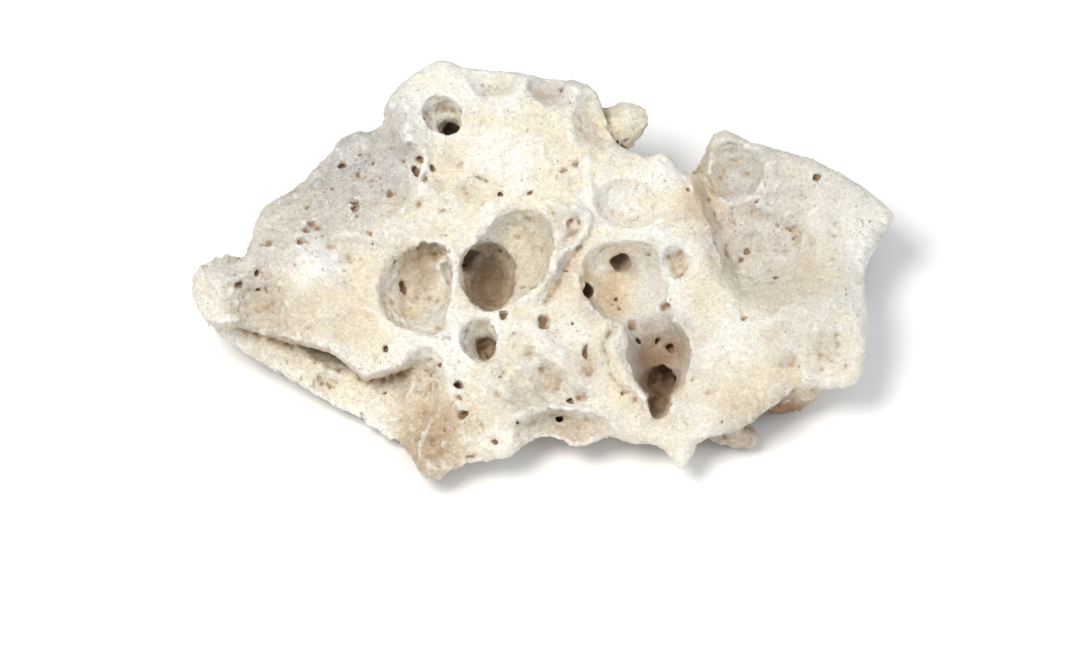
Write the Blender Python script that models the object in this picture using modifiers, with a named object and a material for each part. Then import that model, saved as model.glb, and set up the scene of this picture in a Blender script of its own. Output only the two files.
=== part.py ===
"""Holey rock: one loose piece of weathered limestone with rounded hollows and tunnels.

The stone is shaped lying with its holed face up. In that pose a runs along it, b runs across it and
d is the height; every place and size below is in millimetres in (a, b, d). A lean about the X axis
then stands the stone on its feet, and a level cut at Z = 0 gives the feet their flat soles.
"""
import math

import bmesh
import bpy
import numpy as np
from mathutils import Matrix, Vector, noise

MM = 0.001

# ---- driving dimensions ------------------------------------------------------------------------
LEAN_DEG = 35.0         # the lean that sets the stone on its feet
FACE_HEIGHT = 61.0      # height of the holed face at b = 0
FACE_FALL = 0.28        # how much the face drops for each step in b
FACE_WAVES = 5.0        # height of the face's broad natural waves
WAVE_LENGTH = 34.0      # and how long they are
RIM_ROUND = 9.0         # rounding of the face's edge
NARROWER = (0.03, 0.09)       # how much the underside is narrower than the face, along a and b
NARROW_ABOUT = (0.0, -20.0)   # the (a, b) that stays put as the stone narrows
UNDER_LIFT = 7.0        # height of the underside above the floor between the feet
PLATE_LIFT = 13.0       # the same under the right-hand plate
PLATE_START = (66.0, 92.0)    # where along a the lift under the plate sets in
PLATE_END = (0.0, 30.0)       # where along b it dies out
SINK = 4.0              # how far the feet reach below the floor before they are cut level
FOOT_CORE = 0.4         # inner share of a foot's radius that reaches all the way down
SLAB_HALF = 30.0        # half thickness of the slab before it is shaped
WALL_BULGE = 9.0        # how much the back and the ends bulge in and out
BULGE_LENGTH = 30.0     # and over what length
WEAR_FULL = 0.08        # share of the slab's height, from below, that is worn the most
WEAR_END = 0.85         # and the share where the wear ends
WEAR_STEPS = 45         # rounds of smoothing that wear the underside
ORIGIN_SHIFT = (3.0, 12.8, 0.0)  # brings the middle of the footprint to the origin
FLOOR_SIDE = 600.0      # the block that is cut away below the floor
FLOOR_DEPTH = 60.0

WEATHER_GRAIN = 9.0     # length of the surface's uneven weathering
WEATHER_HEIGHT = 2.4    # and its height

# ---- mesh fineness -----------------------------------------------------------------------------
SLAB_VOXEL = 3.2
STONE_VOXEL = 1.9
CURVE_STEPS = 4         # steps between two points of the outline
TUNNEL_STEPS = 3        # and of a tunnel, along and a quarter of the way around
BALL_DETAIL = 3
RIM_STEPS = 2           # rounds of smoothing that soften the cut rims
KEPT_FACES = 0.080      # share of the blended mesh's faces that the finished stone keeps

# ---- the outline of the holed face, clockwise from its left end ----------------------------------
OUTLINE = [
    (-155, 0), (-144, 3), (-135, 6), (-132, 14), (-127, 28), (-113, 37), (-101, 50), (-90, 61),
    (-80, 62), (-74, 66), (-72, 75), (-66, 83), (-56, 90), (-47, 93.5), (-36, 90), (-16, 88.5),
    (0, 85), (12, 84), (20, 80), (25, 67), (29, 58), (40, 51), (51, 52), (57, 44), (67, 43),
    (70, 50), (71, 58), (78, 63.5), (90, 58), (117, 49.5), (135, 40), (151, 27), (151, 21),
    (142, 6), (139, -5), (138, -36), (134, -50), (120, -53), (108, -52), (98, -60), (85, -69),
    (66, -75), (62, -82), (56.5, -88), (51, -81), (46, -77), (34, -76), (25, -73), (13, -78.5),
    (-3, -72.5), (-10, -75), (-19, -83), (-37, -86), (-49, -93), (-58, -90), (-60, -82),
    (-68, -80), (-80, -71), (-101, -57), (-125, -43), (-146, -28), (-156, -12),
]

# ---- lines on the face: the surface falls away beyond them ----------------------------------------
# two ridge lines bound the rough slope at the upper left: a point and the direction of the fall
SLOPE_EDGE_SIDE = ((-72, 78), (-0.936, -0.351))
SLOPE_EDGE_BASE = ((-60, 24), (-0.27, 0.963))
SLOPE_FALL = 0.5
# the step down to the right-hand plate, which fades out towards the front
STEP_EDGE = ((61, 39), (0.942, 0.335))
STEP_DROP = 15.0
STEP_WIDTH = 9.0
STEP_FADES = (-24.0, 8.0)
# the ledge at the lower left: its lip, and the drop to the shelf below it
LEDGE_LIP = [(-135, -22), (-120, -27), (-96, -33.5), (-80, -45), (-67, -42), (-52, -36)]
LEDGE_DROP = 18.0
LEDGE_WIDTH = 4.0
LEDGE_ENDS = (-66.0, -52.0)

# swellings of the face: (a, b), height, (reach along a, reach along b)
SWELLINGS = [
    ((-98, -14), 4.0, (18, 14)),
    ((-58, 62), 4.0, (9, 16)),
    ((-20, 50), 3.0, (20, 14)),
    ((7, 24), 4.5, (7, 9)),
    ((24, -42), 3.0, (9, 14)),
    ((66, -30), 3.5, (12, 20)),
    ((-50, -84), 3.0, (8, 6)),
    ((146, 22), 3.0, (10, 12)),
    ((91, 6), -7.0, (26, 24)),
    ((-75, 45), -4.0, (12, 12)),
    ((48, 12), 3.0, (8, 8)),
    ((112, -40), -3.0, (16, 10)),
]

# crests and grooves: the points they run through, height, half width
CRESTS = [
    ([(-12, -24), (0, -38), (14, -50)], 3.5, 4.0),
    ([(-26, -64), (-4, -59), (11, -61), (26, -72)], 3.0, 4.0),
    ([(1, 2), (3, 14), (11, 27), (17, 24)], 3.0, 3.5),
    ([(-72, 78), (-60, 52), (-54, 32)], 3.0, 4.0),
    ([(-16, -30), (-4, -44), (8, -56)], -2.0, 5.5),
    ([(28, 5), (44, 17), (60, 12)], 2.0, 4.0),
]

# rounded hollows: name, (a, b), (mouth radius a, mouth radius b), depth, turn in degrees, and how
# far the bottom wanders along a and b for each step down
HOLLOWS = [
    ("top_hole", (-48, 69.5), (8.5, 8.5), 25, 0, (0.45, -0.30)),
    ("top_scallop_left", (-26, 84), (11, 9), 5, 0, (0, 0)),
    ("top_scallop_right", (-2, 81), (10, 9), 6, 0, (0, 0)),
    ("crescent", (22, 68), (12, 14), 8.5, 20, (0, 0)),
    ("round_scoop", (34, 33), (13, 12), 7.5, 0, (-0.45, -0.40)),
    ("funnel", (-15.5, 8), (15.5, 21), 18, -25, (-0.55, -0.35)),
    ("great_throat", (-22, 1), (12.5, 18), 25, -12, (-0.30, -0.20)),
    ("great_hole", (-26.5, -2), (13, 17), 37, 10, (-0.15, -0.10)),
    ("left_bowl", (-58.5, -7.5), (16, 18.5), 19, -15, (0.15, -0.10)),
    ("left_bowl_top", (-52, 4), (8.5, 8), 14, 20, (0.15, 0.10)),
    ("left_bowl_foot", (-53, -20), (7, 9), 14, 20, (0.25, -0.10)),
    ("left_bowl_lip", (-66, 3), (11, 13), 4, 0, (0, 0)),
    ("small_hole", (-31, -31.5), (7.4, 7.8), 19, 0, (0.50, -0.35)),
    ("right_bowl", (32, -6.5), (19, 19.5), 16, 0, (-0.10, 0.05)),
    ("saddle", (43, -24), (10, 10), 11, 0, (0, 0)),
    ("front_bowl", (47.5, -36), (13.5, 14), 17, 0, (0, -0.50)),
    ("front_hole", (48, -49), (12, 11), 25, 0, (-0.05, -0.20)),
    ("front_slot", (48.5, -59), (4.5, 6.5), 16, -10, (0, 0)),
    ("right_pit", (55.5, 2.5), (5.5, 7.5), 7.5, 20, (0.35, 0.15)),
    ("plate_notch", (80.5, 45.5), (14, 14.5), 13, 0, (0, -0.15)),
    ("plate_dimple", (75, 13), (4, 4), 2.5, 0, (0, 0)),
    ("valley", (-56, -52), (8.5, 18), 10, -8, (0, 0)),
    ("arch", (7, -70.5), (20, 9), 8, 4, (0, 0.25)),
    ("double_pit", (-60, 46), (6, 9), 5, 15, (0.2, -0.2)),
    ("slope_pit_low", (-124, 13), (4, 4), 5, 0, (0.3, -0.3)),
    ("slope_pit_mid", (-105, 19), (4.5, 3.2), 4, 25, (0, 0)),
    ("left_end_bowl", (-127, -12), (10, 17), 11, 0, (0, 0)),
    ("ledge_slit", (-100, -37), (9, 3.5), 16, 0, (0, 0.7)),
    ("shelf_bowl", (-96, -50), (11, 7), 6, -30, (0, 0)),
    ("pore_left", (-40, -49.5), (3, 3), 8, 0, (0, 0)),
    ("pore_slot", (-3, -23), (2.4, 4.6), 6, 12, (0, 0)),
    ("arch_pore", (5.2, -65.7), (2.8, 2.6), 9, 0, (0, 0)),
    ("plate_corner_bowl", (120, -36), (10, 9), 4, 0, (0, 0)),
]

# tunnels that run through the stone: name, then (a, b, d, radius) along their way
TUNNELS = [
    ("tunnel_window", [(-50, -1.5, 60, 3.5), (-46, -1.5, 54, 4.5), (-38, -1.5, 46, 6)]),
    ("tunnel_top_to_back", [(-47, 69, 36, 7), (-41, 63, 14, 7), (-36, 70, -10, 8), (-32, 90, -28, 9),
                            (-30, 112, -34, 10)]),
    ("tunnel_under_left", [(-30, 0, 34, 9), (-48, 12, 26, 8), (-66, 20, 10, 9), (-82, 26, -20, 9)]),
    ("tunnel_under_plate", [(48, -49, 52, 7.5), (60, -38, 46, 7), (74, -30, 41, 7), (88, -26, 33, 7.5),
                            (98, -24, 21, 9)]),
    ("tunnel_bowl_left", [(20, -9.5, 58, 4.4), (16, -9, 52, 4.4), (11, -8, 43, 4.4), (5, -6, 35, 4)]),
    ("tunnel_small_to_arch", [(-27, -34, 55, 4.8), (-14, -43, 51, 4.6), (-2, -56, 57, 4.4),
                              (5, -67, 71, 4.2), (7, -76, 80, 4)]),
    ("tunnel_bowl_to_back", [(33, 2, 58, 3.8), (30, 5, 50, 4.2), (24, 14, 42, 4.5), (14, 32, 28, 5),
                             (4, 56, 12, 6), (-4, 84, -6, 8)]),
]

# hollows in the back, the ends and the underside: name, (a, b, d), (radii), turn in degrees
SIDE_HOLLOWS = [
    ("back_bowl_middle", (-8, 93, -12), (20, 17, 20), 0),
    ("back_bowl_right", (48, 58, 4), (16, 15, 18), 0),
    ("back_bowl_left", (-98, 57, 6), (18, 14, 15), 35),
    ("back_pit", (17, 82, -26), (9, 12, 11), 0),
    ("back_pit_right", (114, 54, 10), (12, 12, 10), 0),
    ("back_ledge_left", (-46, 96, 0), (36, 14, 9), 0),
    ("back_ledge_middle", (6, 94, 20), (26, 14, 8), 0),
    ("back_ledge_right", (84, 65, 2), (32, 15, 8), -12),
    ("left_ledge", (-112, 47, 8), (24, 11, 7), 42),
    ("left_end_hollow", (-160, -14, 30), (12, 14, 12), 0),
    ("right_end_hollow", (146, -12, 34), (14, 15, 12), 0),
    ("right_end_pit", (143, 22, 18), (9, 9, 7), 0),
    ("front_hollow", (-24, -90, 66), (11, 12, 8), 0),
    ("front_alcove", (8, -80, 60), (12, 9, 10), 0),
    ("under_groove_left", (-70, 10, -9), (14, 50, 12), -35),
    ("under_groove_middle", (0, 20, -16), (13, 48, 13), 15),
    ("under_groove_right", (64, -20, 11), (12, 44, 11), -10),
    ("under_bowl", (-112, -10, 6), (13, 13, 9), 0),
]

# lumps that stand out of the stone: name, (a, b, d), (radii), turn in degrees
LUMPS = [
    ("back_lobe", (32, 63.5, 12), (13, 9.5, 15), 20),
    ("left_lobe", (-142, -8, 30), (15, 14, 24), 0),
    ("under_rib_front", (78, -70, 60), (12, 8, 11), -20),
    ("under_rib_right", (105, -54, 51), (14, 9, 13), 20),
]

# where the underside reaches the floor: (a, b), radius
FEET = [
    ((-48, -80), 14), ((57, -77), 11), ((-132, -8), 18), ((-104, 26), 24), ((-55, 58), 28),
    ((0, 62), 26), ((-8, -16), 25), ((38, 16), 22), ((-70, -34), 20), ((104, 32), 24),
    ((78, -66), 13), ((106, -50), 14), ((130, -20), 15), ((24, -62), 14), ((40, -44), 19),
]


def lerp_step(value, start, end):
    """0 before start, 1 after end and a smooth step between."""
    t = np.clip((value - start) / (end - start), 0.0, 1.0)
    return t * t * (3.0 - 2.0 * t)


def beyond(line, a, b):
    """How far (a, b) lies past a line given by a point and the direction of the fall."""
    (line_a, line_b), (dir_a, dir_b) = line
    return (a - line_a) * dir_a + (b - line_b) * dir_b


def distance_to_path(points, a, b):
    """Distance from each (a, b) to an open path."""
    nearest = np.full(a.shape, 1e9)
    for (start_a, start_b), (end_a, end_b) in zip(points, points[1:]):
        run_a = end_a - start_a
        run_b = end_b - start_b
        t = ((a - start_a) * run_a + (b - start_b) * run_b) / (run_a ** 2 + run_b ** 2)
        t = np.clip(t, 0.0, 1.0)
        gap = np.hypot(a - start_a - t * run_a, b - start_b - t * run_b)
        nearest = np.minimum(nearest, gap)
    return nearest


def waves(length, a, b, d):
    """Smooth natural noise between about -1 and 1, with waves of the given length."""
    places = np.stack([a, b, d], axis=-1) / length
    return np.array([noise.noise(Vector(place)) for place in places])


def floor_height(b):
    """Height d of the floor, which the lean tips against the holed face."""
    return -b * math.tan(math.radians(LEAN_DEG))


def face_height(a, b):
    """Height d of the holed face, without its hollows and its rounded rim."""
    height = FACE_HEIGHT - FACE_FALL * b + FACE_WAVES * waves(WAVE_LENGTH, a, b, 0.0 * a)
    past_ridges = np.minimum(beyond(SLOPE_EDGE_SIDE, a, b), beyond(SLOPE_EDGE_BASE, a, b))
    height = height - SLOPE_FALL * np.maximum(past_ridges, 0.0)
    step = lerp_step(beyond(STEP_EDGE, a, b), 0.0, STEP_WIDTH) * lerp_step(b, *STEP_FADES)
    height = height - STEP_DROP * step
    lip_a, lip_b = zip(*LEDGE_LIP)
    below_lip = np.interp(a, lip_a, lip_b) - b
    ledge = lerp_step(below_lip, 0.0, LEDGE_WIDTH) * (1.0 - lerp_step(a, *LEDGE_ENDS))
    height = height - LEDGE_DROP * ledge
    for (mid_a, mid_b), rise, (reach_a, reach_b) in SWELLINGS:
        height = height + rise * np.exp(-((a - mid_a) / reach_a) ** 2 - ((b - mid_b) / reach_b) ** 2)
    for points, rise, half_width in CRESTS:
        height = height + rise * np.exp(-(distance_to_path(points, a, b) / half_width) ** 2)
    return height


def under_height(a, b):
    """Height d of the underside, which touches the floor at the feet and is hollow between them."""
    plate = lerp_step(a, *PLATE_START) * (1.0 - lerp_step(b, *PLATE_END))
    lift = UNDER_LIFT + (PLATE_LIFT - UNDER_LIFT) * plate
    foot = np.zeros(a.shape)
    for (foot_a, foot_b), radius in FEET:
        near = 1.0 - np.hypot(a - foot_a, b - foot_b) / radius
        foot = np.maximum(foot, lerp_step(near, 0.0, 1.0 - FOOT_CORE))
    return floor_height(b) + lift * (1.0 - foot) - SINK * foot


def stone_pose():
    """The pose that leans the stone onto its feet, from (a, b, d) in millimetres to metres."""
    shift = Matrix.Translation(Vector(ORIGIN_SHIFT) * MM)
    return shift @ Matrix.Rotation(math.radians(LEAN_DEG), 4, "X") @ Matrix.Scale(MM, 4)


def make_collection(name):
    collection = bpy.data.collections.new(name)
    bpy.context.scene.collection.children.link(collection)
    return collection


def mesh_from(source):
    """A welded mesh of an object as its modifiers leave it; the object is removed."""
    depsgraph = bpy.context.evaluated_depsgraph_get()
    mesh = bpy.data.meshes.new_from_object(source.evaluated_get(depsgraph))
    bpy.data.objects.remove(source)
    shape = bmesh.new()
    shape.from_mesh(mesh)
    bmesh.ops.remove_doubles(shape, verts=shape.verts, dist=1e-4)
    bmesh.ops.recalc_face_normals(shape, faces=shape.faces)
    shape.to_mesh(mesh)
    shape.free()
    return mesh


def curve_object(name, dimensions):
    data = bpy.data.curves.new(name, "CURVE")
    data.dimensions = dimensions
    thing = bpy.data.objects.new(name, data)
    bpy.context.scene.collection.objects.link(thing)
    return thing


def slab_mesh():
    """The outline as a thick slab, remeshed into even quads so that it can be shaped."""
    slab = curve_object("slab", "2D")
    slab.data.fill_mode = "BOTH"
    slab.data.extrude = SLAB_HALF
    slab.data.resolution_u = CURVE_STEPS
    spline = slab.data.splines.new("BEZIER")
    spline.bezier_points.add(len(OUTLINE) - 1)
    for point, (a, b) in zip(spline.bezier_points, OUTLINE):
        point.co = (a, b, 0.0)
        point.handle_left_type = "AUTO"
        point.handle_right_type = "AUTO"
    spline.use_cyclic_u = True
    solid = bpy.data.objects.new("slab", mesh_from(slab))
    bpy.context.scene.collection.objects.link(solid)
    remesh = solid.modifiers.new("even_quads", "REMESH")
    remesh.mode = "VOXEL"
    remesh.voxel_size = SLAB_VOXEL
    return mesh_from(solid)


def round_underside(mesh):
    """Smooths the slab more and more towards its underside, as running water wears a stone."""
    slab = bpy.data.objects.new("slab", mesh)
    bpy.context.scene.collection.objects.link(slab)
    group = slab.vertex_groups.new(name="lower")
    for point in mesh.vertices:
        up = (point.co.z + SLAB_HALF) / (2.0 * SLAB_HALF)
        wear = (WEAR_END - up) / (WEAR_END - WEAR_FULL)
        group.add([point.index], min(max(wear, 0.0), 1.0), "REPLACE")
    smooth = slab.modifiers.new("worn", "SMOOTH")
    smooth.vertex_group = "lower"
    smooth.factor = 0.5
    smooth.iterations = WEAR_STEPS
    return mesh_from(slab)


def shape_slab(mesh):
    """Moves the slab's points between the underside and the face, and narrows it downwards."""
    places = np.empty(len(mesh.vertices) * 3)
    mesh.vertices.foreach_get("co", places)
    places = places.reshape(-1, 3)
    a, b = places[:, 0].copy(), places[:, 1].copy()
    up = np.clip((places[:, 2] + SLAB_HALF) / (2.0 * SLAB_HALF), 0.0, 1.0)
    edge = np.clip(distance_to_path(OUTLINE + OUTLINE[:1], a, b) / RIM_ROUND, 0.0, 1.0)
    rim_drop = RIM_ROUND * (1.0 - np.sqrt(1.0 - (1.0 - edge) ** 2))
    face = face_height(a, b) - rim_drop
    under = under_height(a, b)
    bulge = WALL_BULGE * waves(BULGE_LENGTH, a, b, places[:, 2]) * (1.0 - up)
    for axis, share in enumerate(NARROWER):
        from_middle = places[:, axis] - NARROW_ABOUT[axis]
        outward = from_middle / np.hypot(a - NARROW_ABOUT[0], b - NARROW_ABOUT[1]).clip(1.0)
        places[:, axis] += bulge * outward - from_middle * share * (1.0 - up)
    places[:, 2] = under + up * (face - under)
    mesh.vertices.foreach_set("co", places.ravel())
    mesh.update()


def blob(name, collection, middle, radii, turn_deg, lean=(0.0, 0.0)):
    """A ball stretched to three radii, turned about d and leaned so that its foot wanders."""
    bpy.ops.mesh.primitive_ico_sphere_add(subdivisions=BALL_DETAIL, radius=1.0)
    ball = bpy.context.object
    ball.name = name
    axis = Vector((-lean[0], -lean[1], 1.0)).normalized()
    leaned = Vector((0.0, 0.0, 1.0)).rotation_difference(axis).to_matrix().to_4x4()
    turned = Matrix.Rotation(math.radians(turn_deg), 4, "Z")
    place = Matrix.Translation(Vector(middle))
    ball.data.transform(stone_pose() @ place @ leaned @ turned @ Matrix.Diagonal((*radii, 1.0)))
    move_to(ball, collection)


def hollow(name, collection, place, mouth, depth, turn_deg, wander):
    """A bowl in the face: the cap of a ball if it is shallow, half an egg if it is deep."""
    a, b = place
    width = 0.5 * (mouth[0] + mouth[1])
    tall = (width ** 2 + depth ** 2) / (2.0 * depth) if depth < width else depth
    above = tall - depth
    spread = 1.0 / math.sqrt(1.0 - (above / tall) ** 2)
    surface = float(face_height(np.array([a]), np.array([b]))[0])
    radii = (mouth[0] * spread, mouth[1] * spread, tall)
    blob(name, collection, (a, b, surface + above), radii, turn_deg, wander)


def tunnel(name, collection, way):
    """A round tunnel of changing width along its way."""
    tube = curve_object(name, "3D")
    tube.data.bevel_depth = 1.0
    tube.data.bevel_resolution = TUNNEL_STEPS
    tube.data.use_fill_caps = True
    tube.data.resolution_u = TUNNEL_STEPS
    spline = tube.data.splines.new("BEZIER")
    spline.bezier_points.add(len(way) - 1)
    for point, (a, b, d, radius) in zip(spline.bezier_points, way):
        point.co = (a, b, d)
        point.radius = radius
        point.handle_left_type = "AUTO"
        point.handle_right_type = "AUTO"
    bore = bpy.data.objects.new(name, mesh_from(tube))
    bore.data.transform(stone_pose())
    move_to(bore, collection)


def move_to(thing, collection):
    """Puts a guide shape into its collection, shown as wire and left out of the stone itself."""
    for old in list(thing.users_collection):
        old.objects.unlink(thing)
    collection.objects.link(thing)
    thing.hide_render = True
    thing.display_type = "WIRE"


def combine(stone, name, operation, collection):
    change = stone.modifiers.new(name, "BOOLEAN")
    change.operation = operation
    change.operand_type = "COLLECTION"
    change.collection = collection
    change.solver = "EXACT"


def limestone():
    material = bpy.data.materials.new("cream_limestone")
    material.use_nodes = True
    shader = material.node_tree.nodes["Principled BSDF"]
    shader.inputs["Base Color"].default_value = (0.83, 0.78, 0.68, 1.0)
    shader.inputs["Roughness"].default_value = 0.9
    shader.inputs["Metallic"].default_value = 0.0
    return material


def weather(stone):
    """Rounds the cut edges, roughens the surface and keeps as many triangles as it needs."""
    remesh = stone.modifiers.new("blend", "REMESH")
    remesh.mode = "VOXEL"
    remesh.voxel_size = STONE_VOXEL * MM
    smooth = stone.modifiers.new("rounded_rims", "SMOOTH")
    smooth.factor = 0.5
    smooth.iterations = RIM_STEPS
    clouds = bpy.data.textures.new("weathering", "CLOUDS")
    clouds.noise_scale = WEATHER_GRAIN * MM
    clouds.noise_depth = 2
    rough = stone.modifiers.new("weathering", "DISPLACE")
    rough.texture = clouds
    rough.texture_coords = "LOCAL"
    rough.strength = WEATHER_HEIGHT * MM
    rough.mid_level = 0.5
    fewer = stone.modifiers.new("fewer_faces", "DECIMATE")
    fewer.ratio = KEPT_FACES
    fewer.use_collapse_triangulate = True


def cut_level(stone, guides):
    """Cuts away all that reaches below the floor, which leaves each foot a flat sole."""
    bpy.ops.mesh.primitive_cube_add(size=1.0)
    floor = bpy.context.object
    floor.name = "below_floor"
    size = Vector((FLOOR_SIDE, FLOOR_SIDE, FLOOR_DEPTH)) * MM
    floor.data.transform(Matrix.Translation((0.0, 0.0, -0.5 * size.z)) @ Matrix.Diagonal((*size, 1.0)))
    move_to(floor, guides)
    cut = stone.modifiers.new("level_feet", "BOOLEAN")
    cut.operation = "DIFFERENCE"
    cut.object = floor
    cut.solver = "EXACT"


def build():
    for thing in list(bpy.data.objects):
        bpy.data.objects.remove(thing)
    parts = make_collection("holey_rock")
    lumps = make_collection("holey_rock_lumps")
    hollows = make_collection("holey_rock_hollows")
    guides = make_collection("holey_rock_guides")

    mesh = round_underside(slab_mesh())
    shape_slab(mesh)
    mesh.transform(stone_pose())
    mesh.name = "holey_rock"
    stone = bpy.data.objects.new("holey_rock", mesh)
    parts.objects.link(stone)
    stone.data.materials.clear()
    stone.data.materials.append(limestone())

    for name, middle, radii, turn_deg in LUMPS:
        blob(name, lumps, middle, radii, turn_deg)
    for name, place, mouth, depth, turn_deg, wander in HOLLOWS:
        hollow(name, hollows, place, mouth, depth, turn_deg, wander)
    for name, middle, radii, turn_deg in SIDE_HOLLOWS:
        blob(name, hollows, middle, radii, turn_deg)
    for name, way in TUNNELS:
        tunnel(name, hollows, way)

    combine(stone, "lumps", "UNION", lumps)
    combine(stone, "hollows", "DIFFERENCE", hollows)
    weather(stone)
    cut_level(stone, guides)


build()
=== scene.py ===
"""Looks of the holey rock: its worn surface, pores, stains, painted shade and highlights, and light.

The stone's form is worked out again from the same named sizes as the solid, as a field of distances
on a fine grid, which keeps crisp rims, thin bridges and pits that the plain solid leaves out.
Places and sizes are in millimetres in (a, b, d): a runs along the stone, b across its holed face and
d out of the face. A lean about the X axis then stands the stone on its feet.
"""
import math

import bpy
import numpy as np
import openvdb
from mathutils import Matrix, Vector, noise


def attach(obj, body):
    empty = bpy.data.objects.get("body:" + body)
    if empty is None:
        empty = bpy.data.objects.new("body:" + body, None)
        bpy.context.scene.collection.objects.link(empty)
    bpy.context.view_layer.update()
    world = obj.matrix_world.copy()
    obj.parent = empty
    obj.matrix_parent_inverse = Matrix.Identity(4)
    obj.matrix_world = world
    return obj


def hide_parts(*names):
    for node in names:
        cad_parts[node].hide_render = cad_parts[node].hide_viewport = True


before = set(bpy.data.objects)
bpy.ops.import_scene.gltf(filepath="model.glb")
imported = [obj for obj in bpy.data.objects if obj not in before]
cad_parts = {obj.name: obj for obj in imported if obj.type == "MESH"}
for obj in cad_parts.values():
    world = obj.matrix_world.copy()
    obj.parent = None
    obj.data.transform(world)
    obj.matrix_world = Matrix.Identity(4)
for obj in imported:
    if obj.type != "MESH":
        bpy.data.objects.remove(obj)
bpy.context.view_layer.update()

MM = 0.001

# ---- sizes shared with the solid ---------------------------------------------------------------
LEAN_DEG = 35.0
FACE_HEIGHT = 61.0
FACE_FALL = 0.28
FACE_WAVES = 5.0
WAVE_LENGTH = 34.0
RIM_ROUND = 9.0
NARROWER = (0.03, 0.09)
NARROW_ABOUT = (0.0, -20.0)
UNDER_LIFT = 7.0
PLATE_LIFT = 13.0
PLATE_START = (66.0, 92.0)      # where along a the higher lift under the plate sets in
PLATE_END = (0.0, 30.0)         # and where along b it ends
FOOT_RISE = 0.6         # share of a foot's radius over which it rises to the floor
SINK = 4.0
SLAB_HALF = 30.0
WALL_BULGE = 9.0
BULGE_LENGTH = 30.0
WORN_BLUR = 8.0         # how far the outline's notches are worn away at the underside
ORIGIN_SHIFT = (3.0, 12.8, 0.0)

OUTLINE = [
    (-155, 0), (-144, 3), (-135, 6), (-132, 14), (-127, 28), (-113, 37), (-101, 50), (-90, 61),
    (-80, 62), (-74, 66), (-72, 75), (-66, 83), (-56, 90), (-47, 93.5), (-36, 90), (-16, 88.5),
    (0, 85), (12, 84), (20, 80), (25, 67), (29, 58), (40, 51), (51, 52), (57, 44), (67, 43),
    (70, 50), (71, 58), (78, 63.5), (90, 58), (117, 49.5), (135, 40), (151, 27), (151, 21),
    (142, 6), (139, -5), (138, -36), (134, -50), (120, -53), (108, -52), (98, -60), (85, -69),
    (66, -75), (62, -82), (56.5, -88), (51, -81), (46, -77), (34, -76), (25, -73), (13, -78.5),
    (-3, -72.5), (-10, -75), (-19, -83), (-37, -86), (-49, -93), (-58, -90), (-60, -82),
    (-68, -80), (-80, -71), (-101, -57), (-125, -43), (-146, -28), (-156, -12),
]

SLOPE_EDGE_SIDE = ((-72, 78), (-0.936, -0.351))
SLOPE_EDGE_BASE = ((-60, 24), (-0.27, 0.963))
SLOPE_FALL = 0.5
STEP_EDGE = ((61, 39), (0.942, 0.335))
STEP_DROP = 15.0
STEP_WIDTH = 6.5
STEP_FADES = (-24.0, 8.0)
LEDGE_LIP = [(-135, -22), (-120, -27), (-96, -33.5), (-80, -45), (-67, -42), (-52, -36)]
LEDGE_DROP = 18.0
LEDGE_WIDTH = 4.0
LEDGE_ENDS = (-66.0, -52.0)

# broad swells of the face: a, b, reach along a, reach along b, rise
SWELLINGS = [
    (-98, -14, 18, 14, 4), (-58, 62, 9, 16, 4), (-20, 50, 20, 14, 3), (7, 24, 7, 9, 4.5),
    (24, -42, 9, 14, 3), (66, -30, 12, 20, 3.5), (-50, -84, 8, 6, 3), (146, 22, 10, 12, 3),
    (91, 6, 26, 24, -7), (-75, 45, 12, 12, -4), (48, 12, 8, 8, 3), (112, -40, 16, 10, -3),
]

# ridges and grooves of the face: the points they run through, rise, half width
CRESTS = [
    ([(-12, -24), (0, -38), (14, -50)], 3.5, 4), ([(-26, -64), (-4, -59), (11, -61), (26, -72)], 3, 4),
    ([(1, 2), (3, 14), (11, 27), (17, 24)], 3, 3.5), ([(-72, 78), (-60, 52), (-54, 32)], 3, 4),
    ([(-16, -30), (-4, -44), (8, -56)], -2, 5.5), ([(28, 5), (44, 17), (60, 12)], 2, 4),
]
# finer ones that the solid leaves out
FOLDS = [
    ([(-4, 26), (1, 16), (0.5, 4), (-4, -6), (-12, -13)], 3, 2.4),
    ([(-2, 30), (5, 27.5), (12, 26.5), (15.5, 20), (12.5, 13), (7, 7.5), (2, -2)], 3, 2.2),
    ([(32, -24), (29, -33), (29.5, -42), (33, -49), (39, -53)], 2.6, 3),
    ([(29, -23), (24.5, -31), (24.5, -41), (28.5, -49), (36, -55)], -2.4, 2.2),
    ([(18, 40), (21, 28), (29, 21), (43, 20), (58, 24)], 3.2, 2.2),
    ([(13, 10), (8, 2), (4, -6), (-2, -13)], -2.2, 2.6),
    ([(-56, 56), (-53, 48), (-56, 40), (-51, 34)], 2, 2.4),
    ([(-30, -38), (-22, -50), (-16, -60)], 2.2, 3),
    ([(-64, 74), (-61, 60), (-57, 47), (-58, 36), (-64, 26)], 2.6, 2.6),
    ([(-68, 68), (-66, 54), (-63, 44)], -3, 3.4),
    ([(-8, -25), (3, -33), (11, -41), (13, -49)], 2.2, 2.6),
    ([(17, -37), (17, -46), (14, -54)], -2.4, 3),
    ([(-36, -75), (-20, -66), (-4, -60), (14, -61), (28, -67)], 2.2, 2.4),
    ([(-44, -44), (-41, -54), (-38, -66), (-40, -76)], 2, 2.6),
    ([(-50, -46), (-48, -58), (-46, -70)], -2.2, 3), ([(64, 32), (68, 20), (72, 8), (78, -2)], -2.4, 4),
    ([(10, 82), (14, 70), (11, 58), (16, 46)], 2, 2.6),
    ([(-38, 84), (-30, 76), (-14, 78), (-8, 86)], 1.6, 2.2),
]
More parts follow.
